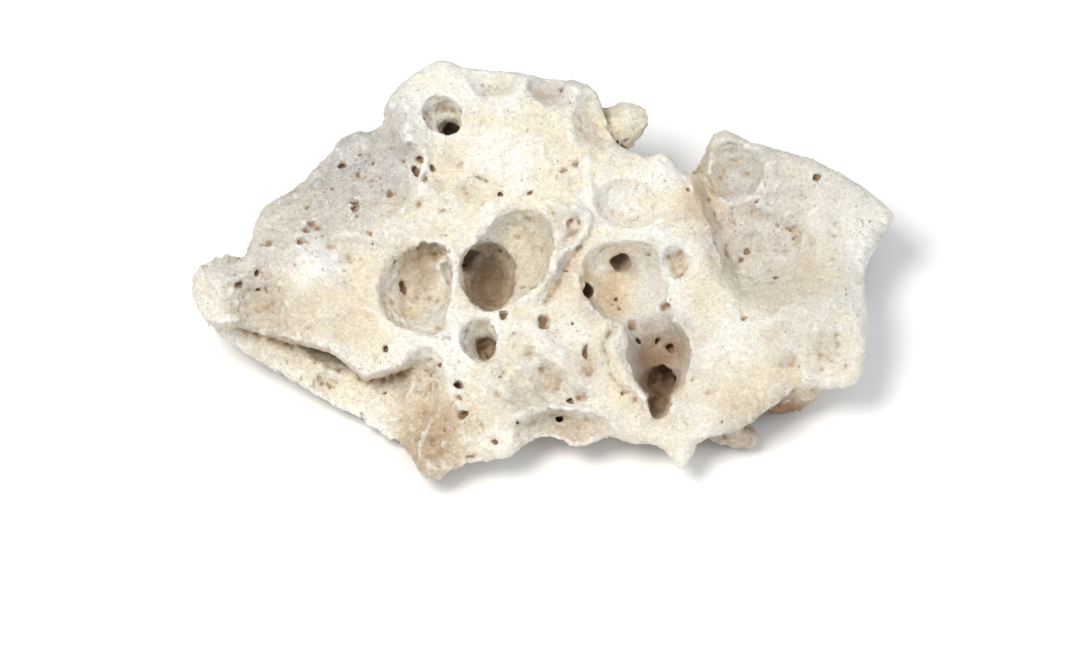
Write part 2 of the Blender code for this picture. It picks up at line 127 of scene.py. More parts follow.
# flat-floored dishes in the face: a, b, reach along a and b, depth
DISHES = [
    (92, 9, 23, 20, 3.5), (-1.5, 79, 6.5, 6, 3), (-24, 80, 8, 7, 2.4), (-104, 2, 7, 8, -1.4),
    (18, 62, 8, 12, 3), (-30, 36, 12, 7, 2.4), (-12, 46, 9, 8, 2), (6, 48, 8, 11, 2.2),
    (-86, 8, 12, 7, 2), (-84, -26, 10, 7, 1.8), (66, -22, 9, 13, 2.4), (62, -52, 10, 8, 2.2),
    (-18, -50, 10, 7, 2.4), (-2, -48, 6, 8, 2.4), (-118, 10, 9, 8, 1.5),
]
FOLD_WANDER = 2.2       # how far noise bends the ridges
FOLD_WAVE = 13.0        # and the length of its waves
FOLD_SLICES = (40.0, 90.0)              # which slice of the noise bends them along a and along b
SCALLOPS = [(15.0, 3.2), (6.5, 1.3)]    # smooth dips with sharp ridges between: wave length, depth
SCALLOP_SLICE = 5.0
SCALLOPED = (45.0, -0.25, 0.25, 0.35)   # where they are deep: patch length, start, end, least share
SCALLOPED_SLICE = 30.0
STRIPE_SLICE = 7.0
PLATE_ROUGH = 1.2       # height of the plate's uneven relief
PLATE_WAVES = [(5.0, 12.0), (11.0, 15.0)]       # its wave lengths, and which slice of the noise
RIB_STEP = 6.0          # a rib ends where the surface below it drops by more than this
RIB_ENDS = 0.4          # share of its radius at its ends
RIB_SUNK = 0.3          # share of its radius by which it is sunk
# rough strips on the face: a, b, reach along a and b, run along a and b, length, width, height
STRIPES = [
    (-16, -44, 20, 15, 0.83, 0.56, 22, 5, 1.3), (20, 55, 26, 18, 0.9, -0.4, 26, 9, 0.8),
    (-84, 22, 34, 22, 0.75, 0.66, 22, 6, 1), (95, 30, 34, 18, 0.95, -0.3, 30, 8, 0.8),
]

# name, a, b, mouth radii, depth, softness of the rim, raggedness, then turn and lean along a and b
HOLLOWS = [
    ("top_hole", -47.4, 69, 8.4, 8.7, 12, 0.8, 0.3, 0, 0.25, -0.35),
    ("top_hole_deep", -45, 65, 6.3, 5.2, 22, 1.2, 0.3, 0, 0.05, -0.22),
    ("top_scallop_left", -25, 85, 10, 9, 6, 3, 0.2),
    ("top_scallop_right", -1.5, 83, 9, 9, 8, 2, 0.2),
    ("crescent", 22, 68, 12, 14, 10, 1.8, 0.2, 20),
    ("round_scoop", 34.5, 31.5, 14.5, 12, 8, 0.4, 0.05, 0, -0.5, -0.45),
    ("funnel", -14.5, 8, 16, 20, 16, 3, 0.2, -25, -0.55, -0.35),
    ("great_throat", -22, 1, 12.5, 16, 14, 4, 0.2, -12, -0.3, -0.2),
    ("great_hole", -26.8, -2.6, 12.4, 16, 36, 0.5, 0.4, 6, 0, -0.03),
    ("left_bowl", -58.5, -7.5, 16, 18.5, 20, 0.9, 0.35, -15, 0.18, 0.1),
    ("left_bowl_top", -53, 4, 9, 8.5, 17, 0.7, 0.6, 20, 0.05, 0.15),
    ("left_bowl_foot", -53, -19, 8, 10, 11, 2.5, 0.4, 20, 0.1, 0.2),
    ("left_bowl_lip", -66, 3, 11, 13, 4, 4, 0.2),
    ("window_slit", -44.6, -2.4, 2.5, 6.4, 19, 0.5, 0.3, 8),
    ("small_hole", -31.5, -29, 8, 9.8, 12, 0.8, 0.3, 0, 0.25, -0.3),
    ("small_hole_deep", -29.2, -32.4, 5.6, 6.4, 21, 3, 0.3, 0, 0.1, -0.12),
    ("right_bowl", 33.4, -4, 19.4, 19, 17, 1.2, 0.15, 0, 0.15),
    ("right_bowl_left", 26, -3, 12.5, 15, 14, 2.5, 0.15, 15, 0.38),
    ("saddle", 43, -24, 10, 10, 11, 5, 0.2),
    ("front_bowl", 47.2, -36, 13.8, 17.5, 18, 0.7, 0.15, 0, 0, -0.4),
    ("front_hole", 47.5, -46.5, 10.4, 8.6, 27, 3, 0.2, 0, 0, -0.08),
    ("front_slot", 47.2, -55.5, 5.4, 9.2, 25, 1, 0.4, -6),
    ("front_pocket", 54, -38, 3.2, 4.4, 17, 1.5, 0.3, -15, 0.05),
    ("right_pit", 54.5, 3, 6.2, 6.8, 6, 2, 0.3, 20, 0.4, 0.3),
    ("plate_notch", 80.5, 46.5, 14, 15, 11.5, 1.6, 0.4, 0, 0, -0.1),
    ("plate_dimple", 75, 13, 4, 4, 2.5, 2, 0.5),
    ("valley", -56, -52, 8.5, 18, 10, 3, 0.5, -8),
    ("corner_fold", -49.5, -69, 4.5, 10, 7, 3, 0.4, -12),
    ("corner_recess", -53, -77, 8, 4.5, 6, 2.5, 0.4, -20),
    ("arch", 7, -70.5, 20, 9, 8, 0.8, 0.4, 4, 0, 0.25),
    ("double_pit", -60, 46, 6, 9, 5, 1.5, 0.8, 15, 0.2, -0.2),
    ("slope_pit_low", -124, 13, 4, 4, 5, 0.8, 0.8, 0, 0.3, -0.3),
    ("slope_pit_mid", -105, 19, 4.5, 3.2, 4, 0.8, 0.8, 25),
    ("left_end_bowl", -127, -12, 10, 17, 10, 5, 0.5),
    ("ledge_slit", -98.5, -37, 13, 3.6, 16, 1, 0.5, -20, 0, 0.7),
    ("shelf_bowl", -96, -50, 11, 7, 6, 3, 0.8, -30),
    ("plate_corner_bowl", 120, -36, 10, 9, 4, 4, 0.5),
]

# ribs laid on the hollowed surface: the (a, b) points they run through, radius
RIBS = [
    ([(-14, 23), (-7, 18), (-4.3, 9), (-7.6, -1), (-12, -8.5)], 1.3),
    ([(-18, 14.5), (-12.5, 10), (-11, 2), (-13.5, -6)], 1.1),
    ([(-10, 27), (0, 23.5), (4, 14), (2, 3), (-3, -4.5), (-9, -9)], 1.5),
    ([(4.3, 25), (9.8, 27), (15.5, 23.9), (15.2, 18), (12, 13), (7.5, 9)], 1.5),
    ([(33, -24), (30, -30), (29, -38), (32, -45.5), (38.5, -52)], 3.4),
    ([(48, -2.5), (52, -5), (57, -4.5), (61, 1)], 1.2),
    ([(13, 5), (14, -7), (17, -17), (23, -25)], 1.2),
    ([(-75, -2), (-72, -14), (-64, -24), (-53, -30)], 1),
    ([(-40, 15), (-41.5, 4), (-41, -8), (-44, -18)], 1),
]

# small pits and pores, set wherever the surface is at that place: a, b, two radii, depth, turn
PORES = [
    (-40, -49.6, 2.4, 2.4, 8, 0), (-37.8, -63, 3.2, 2, 5, 15), (-44.3, -29.7, 2.8, 2.6, 1.8, 0),
    (-20.4, -19.8, 1.9, 2.4, 6, 0), (-3, -23, 2.4, 4.4, 5, 12), (15.2, -35, 1.1, 3, 4, -10),
    (9.6, -23, 0.9, 1.1, 3, 0), (8, -56.5, 1.8, 1.6, 4, 0), (4.6, -65, 2.2, 1.3, 5, 0),
    (38.6, -30.6, 1.1, 1.4, 5, 0), (40, -33.6, 0.6, 0.6, 2, 0), (46.5, -30.6, 1.3, 1.4, 6, 0),
    (51.8, -33.6, 2.2, 1.5, 6, -30), (36, -23.8, 2.8, 2.6, 4, 0), (30, -13, 1, 0.8, 2, 20),
    (27, -16, 1.2, 1, 3, 0), (42.5, 6.6, 1.3, 1.2, 2.5, 0), (9.1, 20.4, 2.4, 3, 2.5, -20),
    (-56.5, 49, 2, 2.3, 6, 0), (-58.7, 43.5, 2, 3, 5, 15), (-54, 40, 1.6, 3, 4, -25),
    (-52, 46, 1.2, 2.2, 4, 10), (-64, 60, 1.4, 1, 3, 30), (-39, 69.6, 1.2, 0.8, 3, 20),
    (-47.8, 26, 1.7, 2.2, 3, 0), (-43.5, 7.8, 0.9, 1.2, 3, 0), (-89, 0, 0.9, 0.9, 3, 0),
    (-64.3, -7.4, 1.8, 3.2, 3.5, 15), (-67.5, 4, 0.9, 1.2, 2, 0), (-56, -17, 0.9, 0.8, 1.5, 0),
    (-52, 4, 0.8, 1, 1.5, 30), (-33.5, -5.7, 1.1, 1.1, 3, 0), (-22, 9, 1, 1.2, 2.5, 0),
    (-107.4, 13, 4, 1.6, 4, 12), (-104.5, 20, 3, 1.6, 4, 20), (-116, 22, 1.6, 1.2, 3, 0),
    (-95, 36, 1.8, 1.3, 3, 40), (-85, 27, 1.4, 2, 3, 0), (-78, 48, 1.6, 1.6, 3, 0),
    (-92, 46, 2.2, 1.5, 3.5, -20), (-70, 34, 1.3, 1.8, 3, 0), (-135, -6, 2.2, 1.6, 4, 0),
    (-128, -2, 1.2, 1.8, 4, 0), (-118, -8, 1.4, 1.2, 3, 0), (-82, -24, 2.6, 2.2, 2, 0),
    (-72, -34, 1.8, 1.4, 2.5, 0), (-48, -42, 1.4, 1.2, 3, 0), (72.6, 16.5, 1, 0.9, 3, 0),
    (106.5, 14.8, 0.9, 0.9, 3, 0), (84, -20, 2.2, 2.6, 2.2, 0), (100, -2, 1.2, 0.9, 2, 0),
    (128, 16, 1.6, 1.6, 2, 0), (62, -48, 1.3, 1, 3, 0), (-30, 40, 3.2, 1.6, 2.5, -35),
    (-22, 33, 1.4, 1, 2.5, 0), (-10, 62, 1.3, 1, 2.5, 0), (6, 44, 1.6, 1.2, 2.5, 0),
    (60, 36, 1.2, 1.6, 2.5, 0), (50, 40, 1, 1, 2, 0), (-14, -66, 1.2, 0.9, 3, 0),
    (-24, -74, 1.8, 1.2, 3, 0), (49.4, -16, 3.2, 3.4, 7, 0), (30.4, -16.3, 1.2, 1.4, 3, 0),
]

PORE_LIFT = 0.5         # how far a pore's middle lies above the surface
PORE_RAGGED = 0.5

# random pits: how many, smallest and largest radius
PITS = 760
PIT_RADII = (0.6, 1.7)
PIT_RARE = 5            # the higher, the rarer the large ones
PIT_LONGER = 0.8        # how much longer than wide they may be
PIT_DEPTH = (0.8, 1.2)  # least depth and what chance adds, in radii
PIT_LEAN = 0.3
PIT_RAGGED = 0.6
# where they crowd: a, b, reach along a and b, how much denser
PITTED = [
    (-95, 34, 34, 26, 7), (-130, -4, 22, 20, 4), (-100, -48, 34, 14, 7), (-16, -44, 24, 16, 3),
    (88, 30, 30, 20, 1.5), (-48, -70, 16, 14, 3), (-76, 50, 14, 22, 4),
]
# hollows that they mostly leave smooth: a, b, reach along a and b
UNPITTED = [
    (-13, 8, 18, 20), (54, 3, 8, 9), (32, -7, 20, 20), (47, -38, 13, 14), (-58, -8, 15, 17),
]
UNPITTED_SHARE = 0.93

# name, (a, b, d, radius) along the way, raggedness
TUNNELS = [
    ("great_shaft_back", [(-27, 0.8, 74, 12.0), (-27, 0.8, 41, 11.8)], 0.35),
    ("great_shaft_front", [(-26.5, -7, 74, 10.6), (-26.5, -7, 41, 10.4)], 0.35),
    ("tunnel_window", [(-50, -1.5, 60, 3.5), (-46, -1.5, 54, 4.5), (-38, -1.5, 46, 6)], 0.6),
    ("tunnel_top_to_back", [(-43, 58, 33, 5.2), (-41, 63, 14, 7), (-36, 70, -10, 8), (-32, 90, -28, 9),
                            (-30, 112, -34, 10)], 0.6),
    ("tunnel_under_left", [(-34, 4, 34, 5.0), (-48, 12, 26, 8), (-66, 20, 10, 9), (-82, 26, -20, 9)], 0.6),
    ("tunnel_under_plate", [(49, -49, 50, 6.5), (60, -40, 43, 6.6), (74, -30, 40, 7), (88, -26, 33, 7.5),
                            (98, -24, 21, 9)], 0.6),
    ("tunnel_bowl_left", [(18, -9.3, 62, 3.4), (15.5, -9.2, 52, 3.6), (12, -8, 43, 4.2), (5, -6, 35, 4)],
     0.15),
    ("tunnel_small_to_arch", [(-27, -34, 55, 4.8), (-14, -43, 51, 4.6), (-2, -56, 57, 4.4),
                              (3.5, -64, 67, 2.4), (4.6, -65.5, 74, 1.2)], 0.3),
    ("tunnel_bowl_to_back", [(31.8, 3, 62, 4.0), (31, 3.6, 46, 4.3), (27, 9, 39, 4.4), (14, 32, 28, 5),
                             (4, 56, 12, 6), (-4, 84, -6, 8)], 0.15),
]

# hollows in the back, the left end, the right end, the front and the underside: a, b, d, radii, turn
SIDE_HOLLOWS = [
    (-8, 93, -12, 20, 17, 20, 0), (48, 58, 4, 16, 15, 18, 0), (-98, 57, 6, 18, 14, 15, 35),
    (17, 82, -26, 9, 12, 11, 0), (114, 54, 10, 12, 12, 10, 0), (-46, 96, 0, 36, 14, 9, 0),
    (6, 94, 20, 26, 14, 8, 0), (84, 65, 2, 32, 15, 8, -12), (-112, 47, 8, 24, 11, 7, 42),
    (-160, -14, 30, 12, 14, 12, 0), (146, -12, 34, 14, 15, 12, 0), (143, 22, 18, 9, 9, 7, 0),
    (-24, -90, 66, 11, 12, 8, 0), (8, -80, 60, 12, 9, 10, 0), (-70, 10, -9, 14, 50, 12, -35),
    (0, 20, -16, 13, 48, 13, 15), (64, -20, 11, 12, 44, 11, -10), (-112, -10, 6, 13, 13, 9, 0),
]

# name, (a, b, d), radii, turn, raggedness
LUMPS = [
    ("back_lobe_root", (23, 61, 9), (11, 9, 14), 0, 0.3),
    ("back_lobe", (32.5, 63.5, 12), (13, 10.5, 15), 20, 0.15),
    ("left_lobe", (-142, -8, 30), (15, 14, 24), 0, 0.8),
    ("under_rib_front", (78, -70, 60), (13, 6.5, 11), -20, 0.25),
    ("under_rib_right", (105, -54, 51), (15, 7.5, 13), 20, 0.2),
]

# where the stone touches the floor: a, b, radius
FEET = [
    (-48, -80, 14), (57, -77, 11), (-132, -8, 18), (-104, 26, 24), (-55, 58, 28), (0, 62, 26),
    (-8, -16, 25), (38, 16, 22), (-70, -34, 20), (104, 32, 24), (78, -66, 13), (106, -50, 14),
    (130, -20, 15), (24, -62, 14), (40, -44, 19),
]

# ---- the fine surface --------------------------------------------------------------------------
CELL = 0.9       # grid cell of the distance field
LOW_CORNER = (-168.0, -103.0, -72.0)
HIGH_CORNER = (166.0, 105.0, 108.0)
TRIANGLES = 194000
SEED = 1378
BAND = 3.0              # the field is kept up to this many millimetres from the surface
MARGIN = 3.0            # how far past a form its cells are worked out, and in sizes of the form
EGG_MARGIN = 1.3
TUBE_MARGIN = 1.5
CURVE_STEPS = 5
WAVE_CELLS = 4.0        # cells for a wave of noise, at least
RIB_STEPS = 4

# how softly forms meet
WALL_EDGE = 2.0
UNDER_EDGE = 5.0
LUMP_SEAM = 4.0
SIDE_SEAM = 3.0
RIB_SEAM = 2.0
TUNNEL_SEAM = 1.0
PORE_SEAM = 0.5

# the walls: least thickness, the worn outline's share at the foot and its fall upwards, and the
# cells from one sample of their bulge to the next
LEAST_THICK = 5.0
WORN_SHARE = (1.1, 1.3)
BULGE_STEP = 4

# noise that bends the forms: broad wave, fine (wave, height), and the fine one's least share
BROAD_WARP = 16.0
FINE_WARP = [(6.0, 0.4), (3.2, 0.22)]
FINE_SHARE = 0.3
# noise on the surface: wave, spread, height, and what roughness adds to the height
ROUGHNESS = [(9.0, 0.6, 0.22, 0.26), (3.2, 0.5, 0.11, 0.26)]
GRAIN = [(6.0, 0.7, 0.13), (2.6, 0.5, 0.06)]
ROUGH_DEPTH = 20.0      # the sides are rough from this depth below the face
ROUGH_SIDES = 0.5
# how far around a place each mark looks for stone, which tells hollows from ridges; by these
# marks the material paints shade into hollows and highlights onto ridges
MARK_REACHES = {"hollow": 6.0, "dent": 3.2, "crease": 1.7}

# ---- patches of colour on the face -------------------------------------------------------------
PATCH_WANDER = 4.0      # how far noise bends their edges
PATCH_WAVE = 9.0
PATCH_SLICES = (20.0, 60.0)
PLATE_EDGE = 16.0       # how gradually the plate's darker tone sets in
PLATE_PALER = (10.0, 50.0)      # and where towards the front it gets paler again
# a, b, reach along a and b, strength
PATCHES = {
    "warm": [
        (15, -1, 5, 12, 0.9), (62, 30, 8, 12, 0.5), (14, -72, 18, 6, 0.35), (22, -8, 9, 11, 1),
        (27, -12, 7, 9, 1), (22, 5, 9, 10, 0.25), (13, 3, 5, 13, 0.7), (70, 14, 7, 22, 0.45),
        (66, 34, 9, 9, 0.5), (0, -20, 10, 10, 0.25), (-74, 2, 9, 14, 0.3), (2, -12, 6, 12, 0.25),
        (-50, -78, 14, 10, 0.55), (-44, -66, 9, 12, 0.45), (66, 32, 9, 10, 0.35), (78, 28, 10, 4, 0.3),
        (-90, -14, 26, 16, 0.36), (-52, -66, 10, 14, 0.35), (30, -52, 12, 8, 0.25),
        (66, -58, 22, 12, 0.22), (-40, 30, 18, 12, 0.18), (20, 60, 10, 12, 0.2), (-56, 6, 5, 7, 0.4),
        (104, -46, 22, 10, 0.2), (48, 34, 6, 8, 0.2),
    ],
    # grey patches: the stone's grey tone, and painted shade on the left slopes and on hollow walls turned
    # from the light
    "grey": [
        (-92, 52, 16, 14, 0.7), (88, 42, 5, 11, 1), (18, -18, 6, 5, 0.4), (18, -17, 6, 6, 0.55),
        (36.5, 2.5, 4, 5, 0.6), (45, 2, 8, 12, 0.35), (47, -28, 13, 9, 1), (84, 43, 9, 13, 1),
        (-88, 50, 15, 14, 0.6), (44, 0, 8, 15, 0.5), (-122, -22, 16, 14, 0.6), (137, 10, 10, 18, 0.3),
        (-13, -57, 10, 6, 0.8), (48, -31, 12, 12, 0.95), (-88, 46, 20, 24, 0.95),
        (-108, 20, 20, 18, 0.5), (10, 2, 5, 10, 0.4), (18, -38, 10, 8, 0.3), (-104, 30, 28, 20, 0.8),
        (-80, 56, 18, 22, 0.85), (-67, 54, 8, 26, 0.75), (-132, -2, 18, 16, 0.8), (92, 6, 26, 24, 0.3),
        (104, 34, 34, 16, 0.3), (86, 43, 7, 12, 0.65), (92, 50, 8, 8, 0.4), (110, -22, 20, 18, 0.25),
        (5, 2, 3.5, 8, 0.85), (44, -24, 8, 8, 0.5), (6, 82, 12, 8, 0.6), (-22, 84, 10, 7, 0.4),
        (-1, 79, 7, 7, 0.9), (-5, 6, 8, 16, 0.4), (8, 20, 8, 8, 0.45), (50, -38, 9, 14, 0.4),
        (-52, -20, 8, 7, 0.45), (14, -67, 16, 6, 0.5), (-8, -40, 16, 14, 0.25),
    ],
    # tan patches: tan stains, and painted shade on hollow walls, under overhanging rims and under the
    # plate
    "tan": [
        (48, -26, 11, 8, 0.5), (-56, 8, 9, 6, 0.6), (-59, -76, 8, 8, 1), (-50, -84, 9, 6, 0.7),
        (5, -67, 8, 4, 0.8), (26, -68, 6, 5, 0.5), (46.5, -58, 6.5, 8, 1), (-50, -76, 12, 12, 1),
        (62, 30, 6, 10, 0.4), (26, -11, 6, 8, 0.65), (5, -66, 7, 4, 1), (12, -74, 18, 6, 0.75),
        (19, -66, 5, 4, 0.6), (60, 22, 8, 10, 0.4), (-120, -26, 18, 12, 0.6), (98, -63, 22, 8, 0.9),
        (-42, -62, 6, 6, 0.5), (-100, -18, 22, 14, 0.25), (-52, -72, 13, 15, 1), (-58, -52, 9, 18, 0.6),
        (-46, -62, 8, 10, 0.45), (-18, -58, 16, 9, 0.35), (5, -60, 14, 6, 0.45), (17, -10, 4, 4, 0.6),
        (-2, -50, 10, 10, 0.3), (2, 6, 6, 14, 0.35), (10, 18, 7, 8, 0.35), (-38, 40, 16, 12, 0.25),
        (-36, 68, 8, 8, 0.25), (-57, 4, 11, 11, 0.85), (-62, -12, 9, 12, 0.4), (-50, 8, 8, 8, 0.4),
        (70, 40, 6, 10, 0.2), (70, 22, 7, 20, 0.6), (13, -44, 7, 4, 0.5), (90, 26, 14, 5, 0.4),
        (112, 4, 5, 20, 0.3), (86, -52, 26, 10, 0.3), (22, 66, 8, 14, 0.35), (46, -36, 12, 12, 0.75),
        (54, -42, 6, 8, 0.6), (9, -46, 12, 12, 0.3), (34, 58, 9, 8, 0.4), (12, -72, 18, 6, 0.45),
        (-112, -4, 10, 8, 0.3),
    ],
    # brown patches, mostly inside holes and under the rim: painted shade, with some brown stain
    "brown": [
        (5, -66.5, 7, 4, 1), (47, -40, 13, 7, 0.5), (16, -12, 4, 5, 0.5), (46.5, -56, 7.5, 9, 1),
        (47, -48, 11, 7, 0.85), (-27, -3, 12, 16, 0.5), (31.8, 3, 5, 5, 1), (47, -42, 12, 8, 0.8),
        (-29, -33, 5, 6, 0.5), (-40, -8, 5, 6, 0.4), (-50, -70, 6, 10, 1), (-54, -78, 9, 6, 1),
        (-28, -33.5, 5.5, 5.5, 1), (-45, 64, 7, 5, 0.4), (-53, -82, 8, 9, 0.9),
        (-98, -37, 14, 4.5, 0.9), (48, -32, 10, 8, 0.35), (80, -70, 14, 8, 0.9), (102, -61, 18, 7, 1),
        (-56, 0, 10, 9, 0.3), (-24, -14, 10, 5, 0.7), (-17, -4, 4, 9, 0.5),
    ],
    "rough": [
        (-95, 34, 34, 26, 0.9), (-130, -4, 22, 20, 0.9), (-100, -48, 34, 14, 0.8),
        (-16, -44, 20, 14, 0.6), (-48, -76, 16, 12, 0.6), (98, 22, 36, 26, 0.4),
        (-134, -14, 16, 16, 0.8),
    ],
    # whiter patches: a chalky crust in places, and elsewhere painted light on bowl walls and the round
    # scoop's floor
    "chalk_and_light": [
        (-47, 0, 3, 9, 0.9), (-70, -6, 4, 9, 0.6), (36, -39, 3, 6, 0.4), (86, 43, 7, 11, 0.4),
        (78, 26, 6, 5, 0.5), (86, 30, 12, 2.5, 0.7), (-103, 2, 8, 8, 1), (-104, 2, 6, 7, 1),
        (-97, 5, 6, 4, 1), (-108, -3, 5, 4, 0.9), (139, 8, 6, 18, 0.8), (95, -21, 7, 2.5, 1),
        (72, 11, 6, 4, 0.8), (50, 18, 14, 3, 0.8), (33, 31, 14, 12, 1), (44, -4, 8, 14, 0.55),
        (62, -46, 6, 10, 0.5), (132, 12, 4, 14, 0.8), (21, 5, 5, 6, 0.8), (117, 26, 3, 9, 0.6),
        (-45, 60, 12, 5, 0.8), (-56, 36, 4, 12, 0.7), (-20, 46, 16, 10, 0.4), (48, 42, 8, 8, 0.6),
        (-54, -28, 3, 8, 0.7), (-41, -6, 2.5, 12, 0.3), (40, 52, 10, 5, 0.5), (6, -58, 10, 3, 0.5),
        (30, -72, 10, 5, 0.4), (-78, 74, 6, 8, 0.5), (58, 6, 7, 7, 0.5),
    ],
}


class Grid:
    """The (a, b, d) places of the distance field's cells."""

    def __init__(self, cell, low, high):
        self.cell = cell
        self.low = low
        self.axes = [np.arange(start, end, cell, dtype=np.float32) for start, end in zip(low, high)]
        self.shape = tuple(len(axis) for axis in self.axes)
        self.a = self.axes[0][:, None, None]
        self.b = self.axes[1][None, :, None]
        self.d = self.axes[2][None, None, :]

    def part(self, middle, reach):
        """The slices of the cells within reach of a place, or None if there are none."""
        cuts = []
        for axis, centre, far in zip(self.axes, middle, reach):
            start, end = np.searchsorted(axis, [centre - far, centre + far])
            if start >= end:
                return None
            cuts.append(slice(int(start), int(end)))
        return tuple(cuts)


def lerp_step(value, start, end):
    t = np.clip((value - start) / (end - start), 0.0, 1.0)
    return t * t * (3.0 - 2.0 * t)


def beyond(line, a, b):
    (line_a, line_b), (dir_a, dir_b) = line
    return (a - line_a) * dir_a + (b - line_b) * dir_b


def spot(a, b, mid_a, mid_b, reach_a, reach_b, flatness=1):
    """1 in the middle of a soft oval spot, falling to 0 around it."""
    out = ((a - mid_a) / reach_a) ** 2 + ((b - mid_b) / reach_b) ** 2
    return np.exp(-out ** flatness)


def distance_to_path(points, a, b):
    nearest = np.full(np.broadcast(a, b).shape, 1e9, dtype=np.float32)
    for (start_a, start_b), (end_a, end_b) in zip(points, points[1:]):
        run_a = end_a - start_a
        run_b = end_b - start_b
        t = ((a - start_a) * run_a + (b - start_b) * run_b) / (run_a ** 2 + run_b ** 2)
        t = np.clip(t, 0.0, 1.0)
        gap = np.hypot(a - start_a - t * run_a, b - start_b - t * run_b)
        nearest = np.minimum(nearest, gap)
    return nearest


def soft_max(one, other, softness):
    """The larger of two distances, rounded where they meet."""
    blend = np.maximum(softness - np.abs(one - other), 0.0) / softness
    return np.maximum(one, other) + blend * blend * softness * 0.25


def soft_min(one, other, softness):
    return -soft_max(-one, -other, softness)


def smooth(points, steps, closed=False):
    """A smooth curve through rows of numbers, with a few steps from each to the next."""
    points = np.array(points, dtype=np.float64)
    if closed:
        padded = np.vstack([points[-1:], points, points[:2]])
    else:
        padded = np.vstack([2 * points[0] - points[1], points, 2 * points[-1] - points[-2]])
    p0, p1, p2, p3 = padded[:-3], padded[1:-2], padded[2:-1], padded[3:]
    run = []
    for t in np.arange(steps) / steps:
        run.append(0.5 * (2 * p1 + (p2 - p0) * t + (2 * p0 - 5 * p1 + 4 * p2 - p3) * t ** 2 +
                          (3 * p1 - p0 - 3 * p2 + p3) * t ** 3))
    run = np.stack(run, axis=1).reshape(-1, points.shape[1])
    return run if closed else np.vstack([run, points[-1:]])


def inside_polygon(polygon, a, b):
    """True where (a, b) lies inside a polygon."""
    inside = np.zeros(np.broadcast(a, b).shape, dtype=bool)
    for (a0, b0), (a1, b1) in zip(polygon, np.roll(polygon, -1, axis=0)):
        if b0 == b1:
            continue
        crosses = (b0 > b) != (b1 > b)
        inside ^= crosses & (a < (a1 - a0) * (b - b0) / (b1 - b0) + a0)
    return inside


def blur(layer, cells):
    """A Gaussian blur of a 2D layer by way of its frequencies."""
    wide = [size + 2 * int(3 * cells) for size in layer.shape]
    margin = int(3 * cells)
    padded = np.pad(layer, margin, mode="edge")
    across = np.fft.fftfreq(wide[0])[:, None]
    along = np.fft.rfftfreq(wide[1])[None, :]
    keep = np.exp(-2.0 * (math.pi * cells) ** 2 * (across ** 2 + along ** 2))
    result = np.fft.irfft2(np.fft.rfft2(padded) * keep, s=padded.shape)
    return result[margin:-margin, margin:-margin].astype(np.float32)


def stretch(field, factor, shape):
    """Enlarges a coarse 3D field to the grid's shape, linearly."""
    for axis, size in enumerate(shape):
        place = np.arange(size, dtype=np.float32) / factor
        low = np.minimum(place.astype(int), field.shape[axis] - 2)
        share_shape = [1, 1, 1]
        share_shape[axis] = size
        share = (place - low).astype(np.float32).reshape(share_shape)
        first = np.take(field, low, axis=axis)
        second = np.take(field, low + 1, axis=axis)
        field = first + (second - first) * share
    return field


def band_noise(random, shape, cell, wave, spread=0.5):
    """Natural noise whose waves are about one length, with a mean of 0 and a spread of 1."""
    grain = random.standard_normal(shape).astype(np.float32)
    spectrum = np.fft.rfftn(grain)
    square = sum(np.meshgrid(*[(np.fft.fftfreq(n, cell) ** 2).astype(np.float32) for n in shape[:2]],
                             (np.fft.rfftfreq(shape[2], cell) ** 2).astype(np.float32),
                             indexing="ij", sparse=True))
    length = np.sqrt(square) * wave
    spectrum *= np.exp(-(np.log(np.maximum(length, 1e-4)) / spread) ** 2)
    result = np.fft.irfftn(spectrum, s=shape).astype(np.float32)
    return result / result.std()


def wave_field(random, grid, wave, spread=0.5):
    """Band noise over the grid, made on a coarser grid where the waves allow it."""
    factor = max(1, int(wave / grid.cell / WAVE_CELLS))
    coarse = tuple(int(n / factor) + 2 for n in grid.shape)
    return stretch(band_noise(random, coarse, grid.cell * factor, wave, spread), factor, grid.shape)


def broad_waves(length, a, b, d):
    """The solid's own broad noise, at each place. On the flat, d picks a slice of it."""
    d = 0.0 * a + d
    places = np.stack(np.broadcast_arrays(a, b, d), axis=-1).reshape(-1, 3) / length
    values = np.array([noise.noise(Vector(place)) for place in places], dtype=np.float32)
    return values.reshape(np.broadcast(a, b, d).shape)


def bent_plane(a, b, wander, length, slices):
    """Places on the face, bent by noise."""
    return [place + wander * broad_waves(length, a, b, d) for place, d in zip((a, b), slices)]


def floor_height(b):
    return -b * math.tan(math.radians(LEAN_DEG))


def face_height(a, b):
    """Height d of the holed face, without its hollows and its rounded rim."""
    height = FACE_HEIGHT - FACE_FALL * b + FACE_WAVES * broad_waves(WAVE_LENGTH, a, b, 0.0)
    past_ridges = np.minimum(beyond(SLOPE_EDGE_SIDE, a, b), beyond(SLOPE_EDGE_BASE, a, b))
    height = height - SLOPE_FALL * np.maximum(past_ridges, 0.0)
    step = lerp_step(beyond(STEP_EDGE, a, b), 0.0, STEP_WIDTH) * lerp_step(b, *STEP_FADES)
    height = height - STEP_DROP * step
    lip_a, lip_b = zip(*LEDGE_LIP)
    below_lip = np.interp(a, lip_a, lip_b) - b
    ledge = lerp_step(below_lip, 0.0, LEDGE_WIDTH) * (1.0 - lerp_step(a, *LEDGE_ENDS))
    height = height - LEDGE_DROP * ledge
    for *where, rise in SWELLINGS:
        height = height + rise * spot(a, b, *where)
    for points, rise, half_width in CRESTS:
        height = height + rise * np.exp(-(distance_to_path(points, a, b) / half_width) ** 2)
    return height


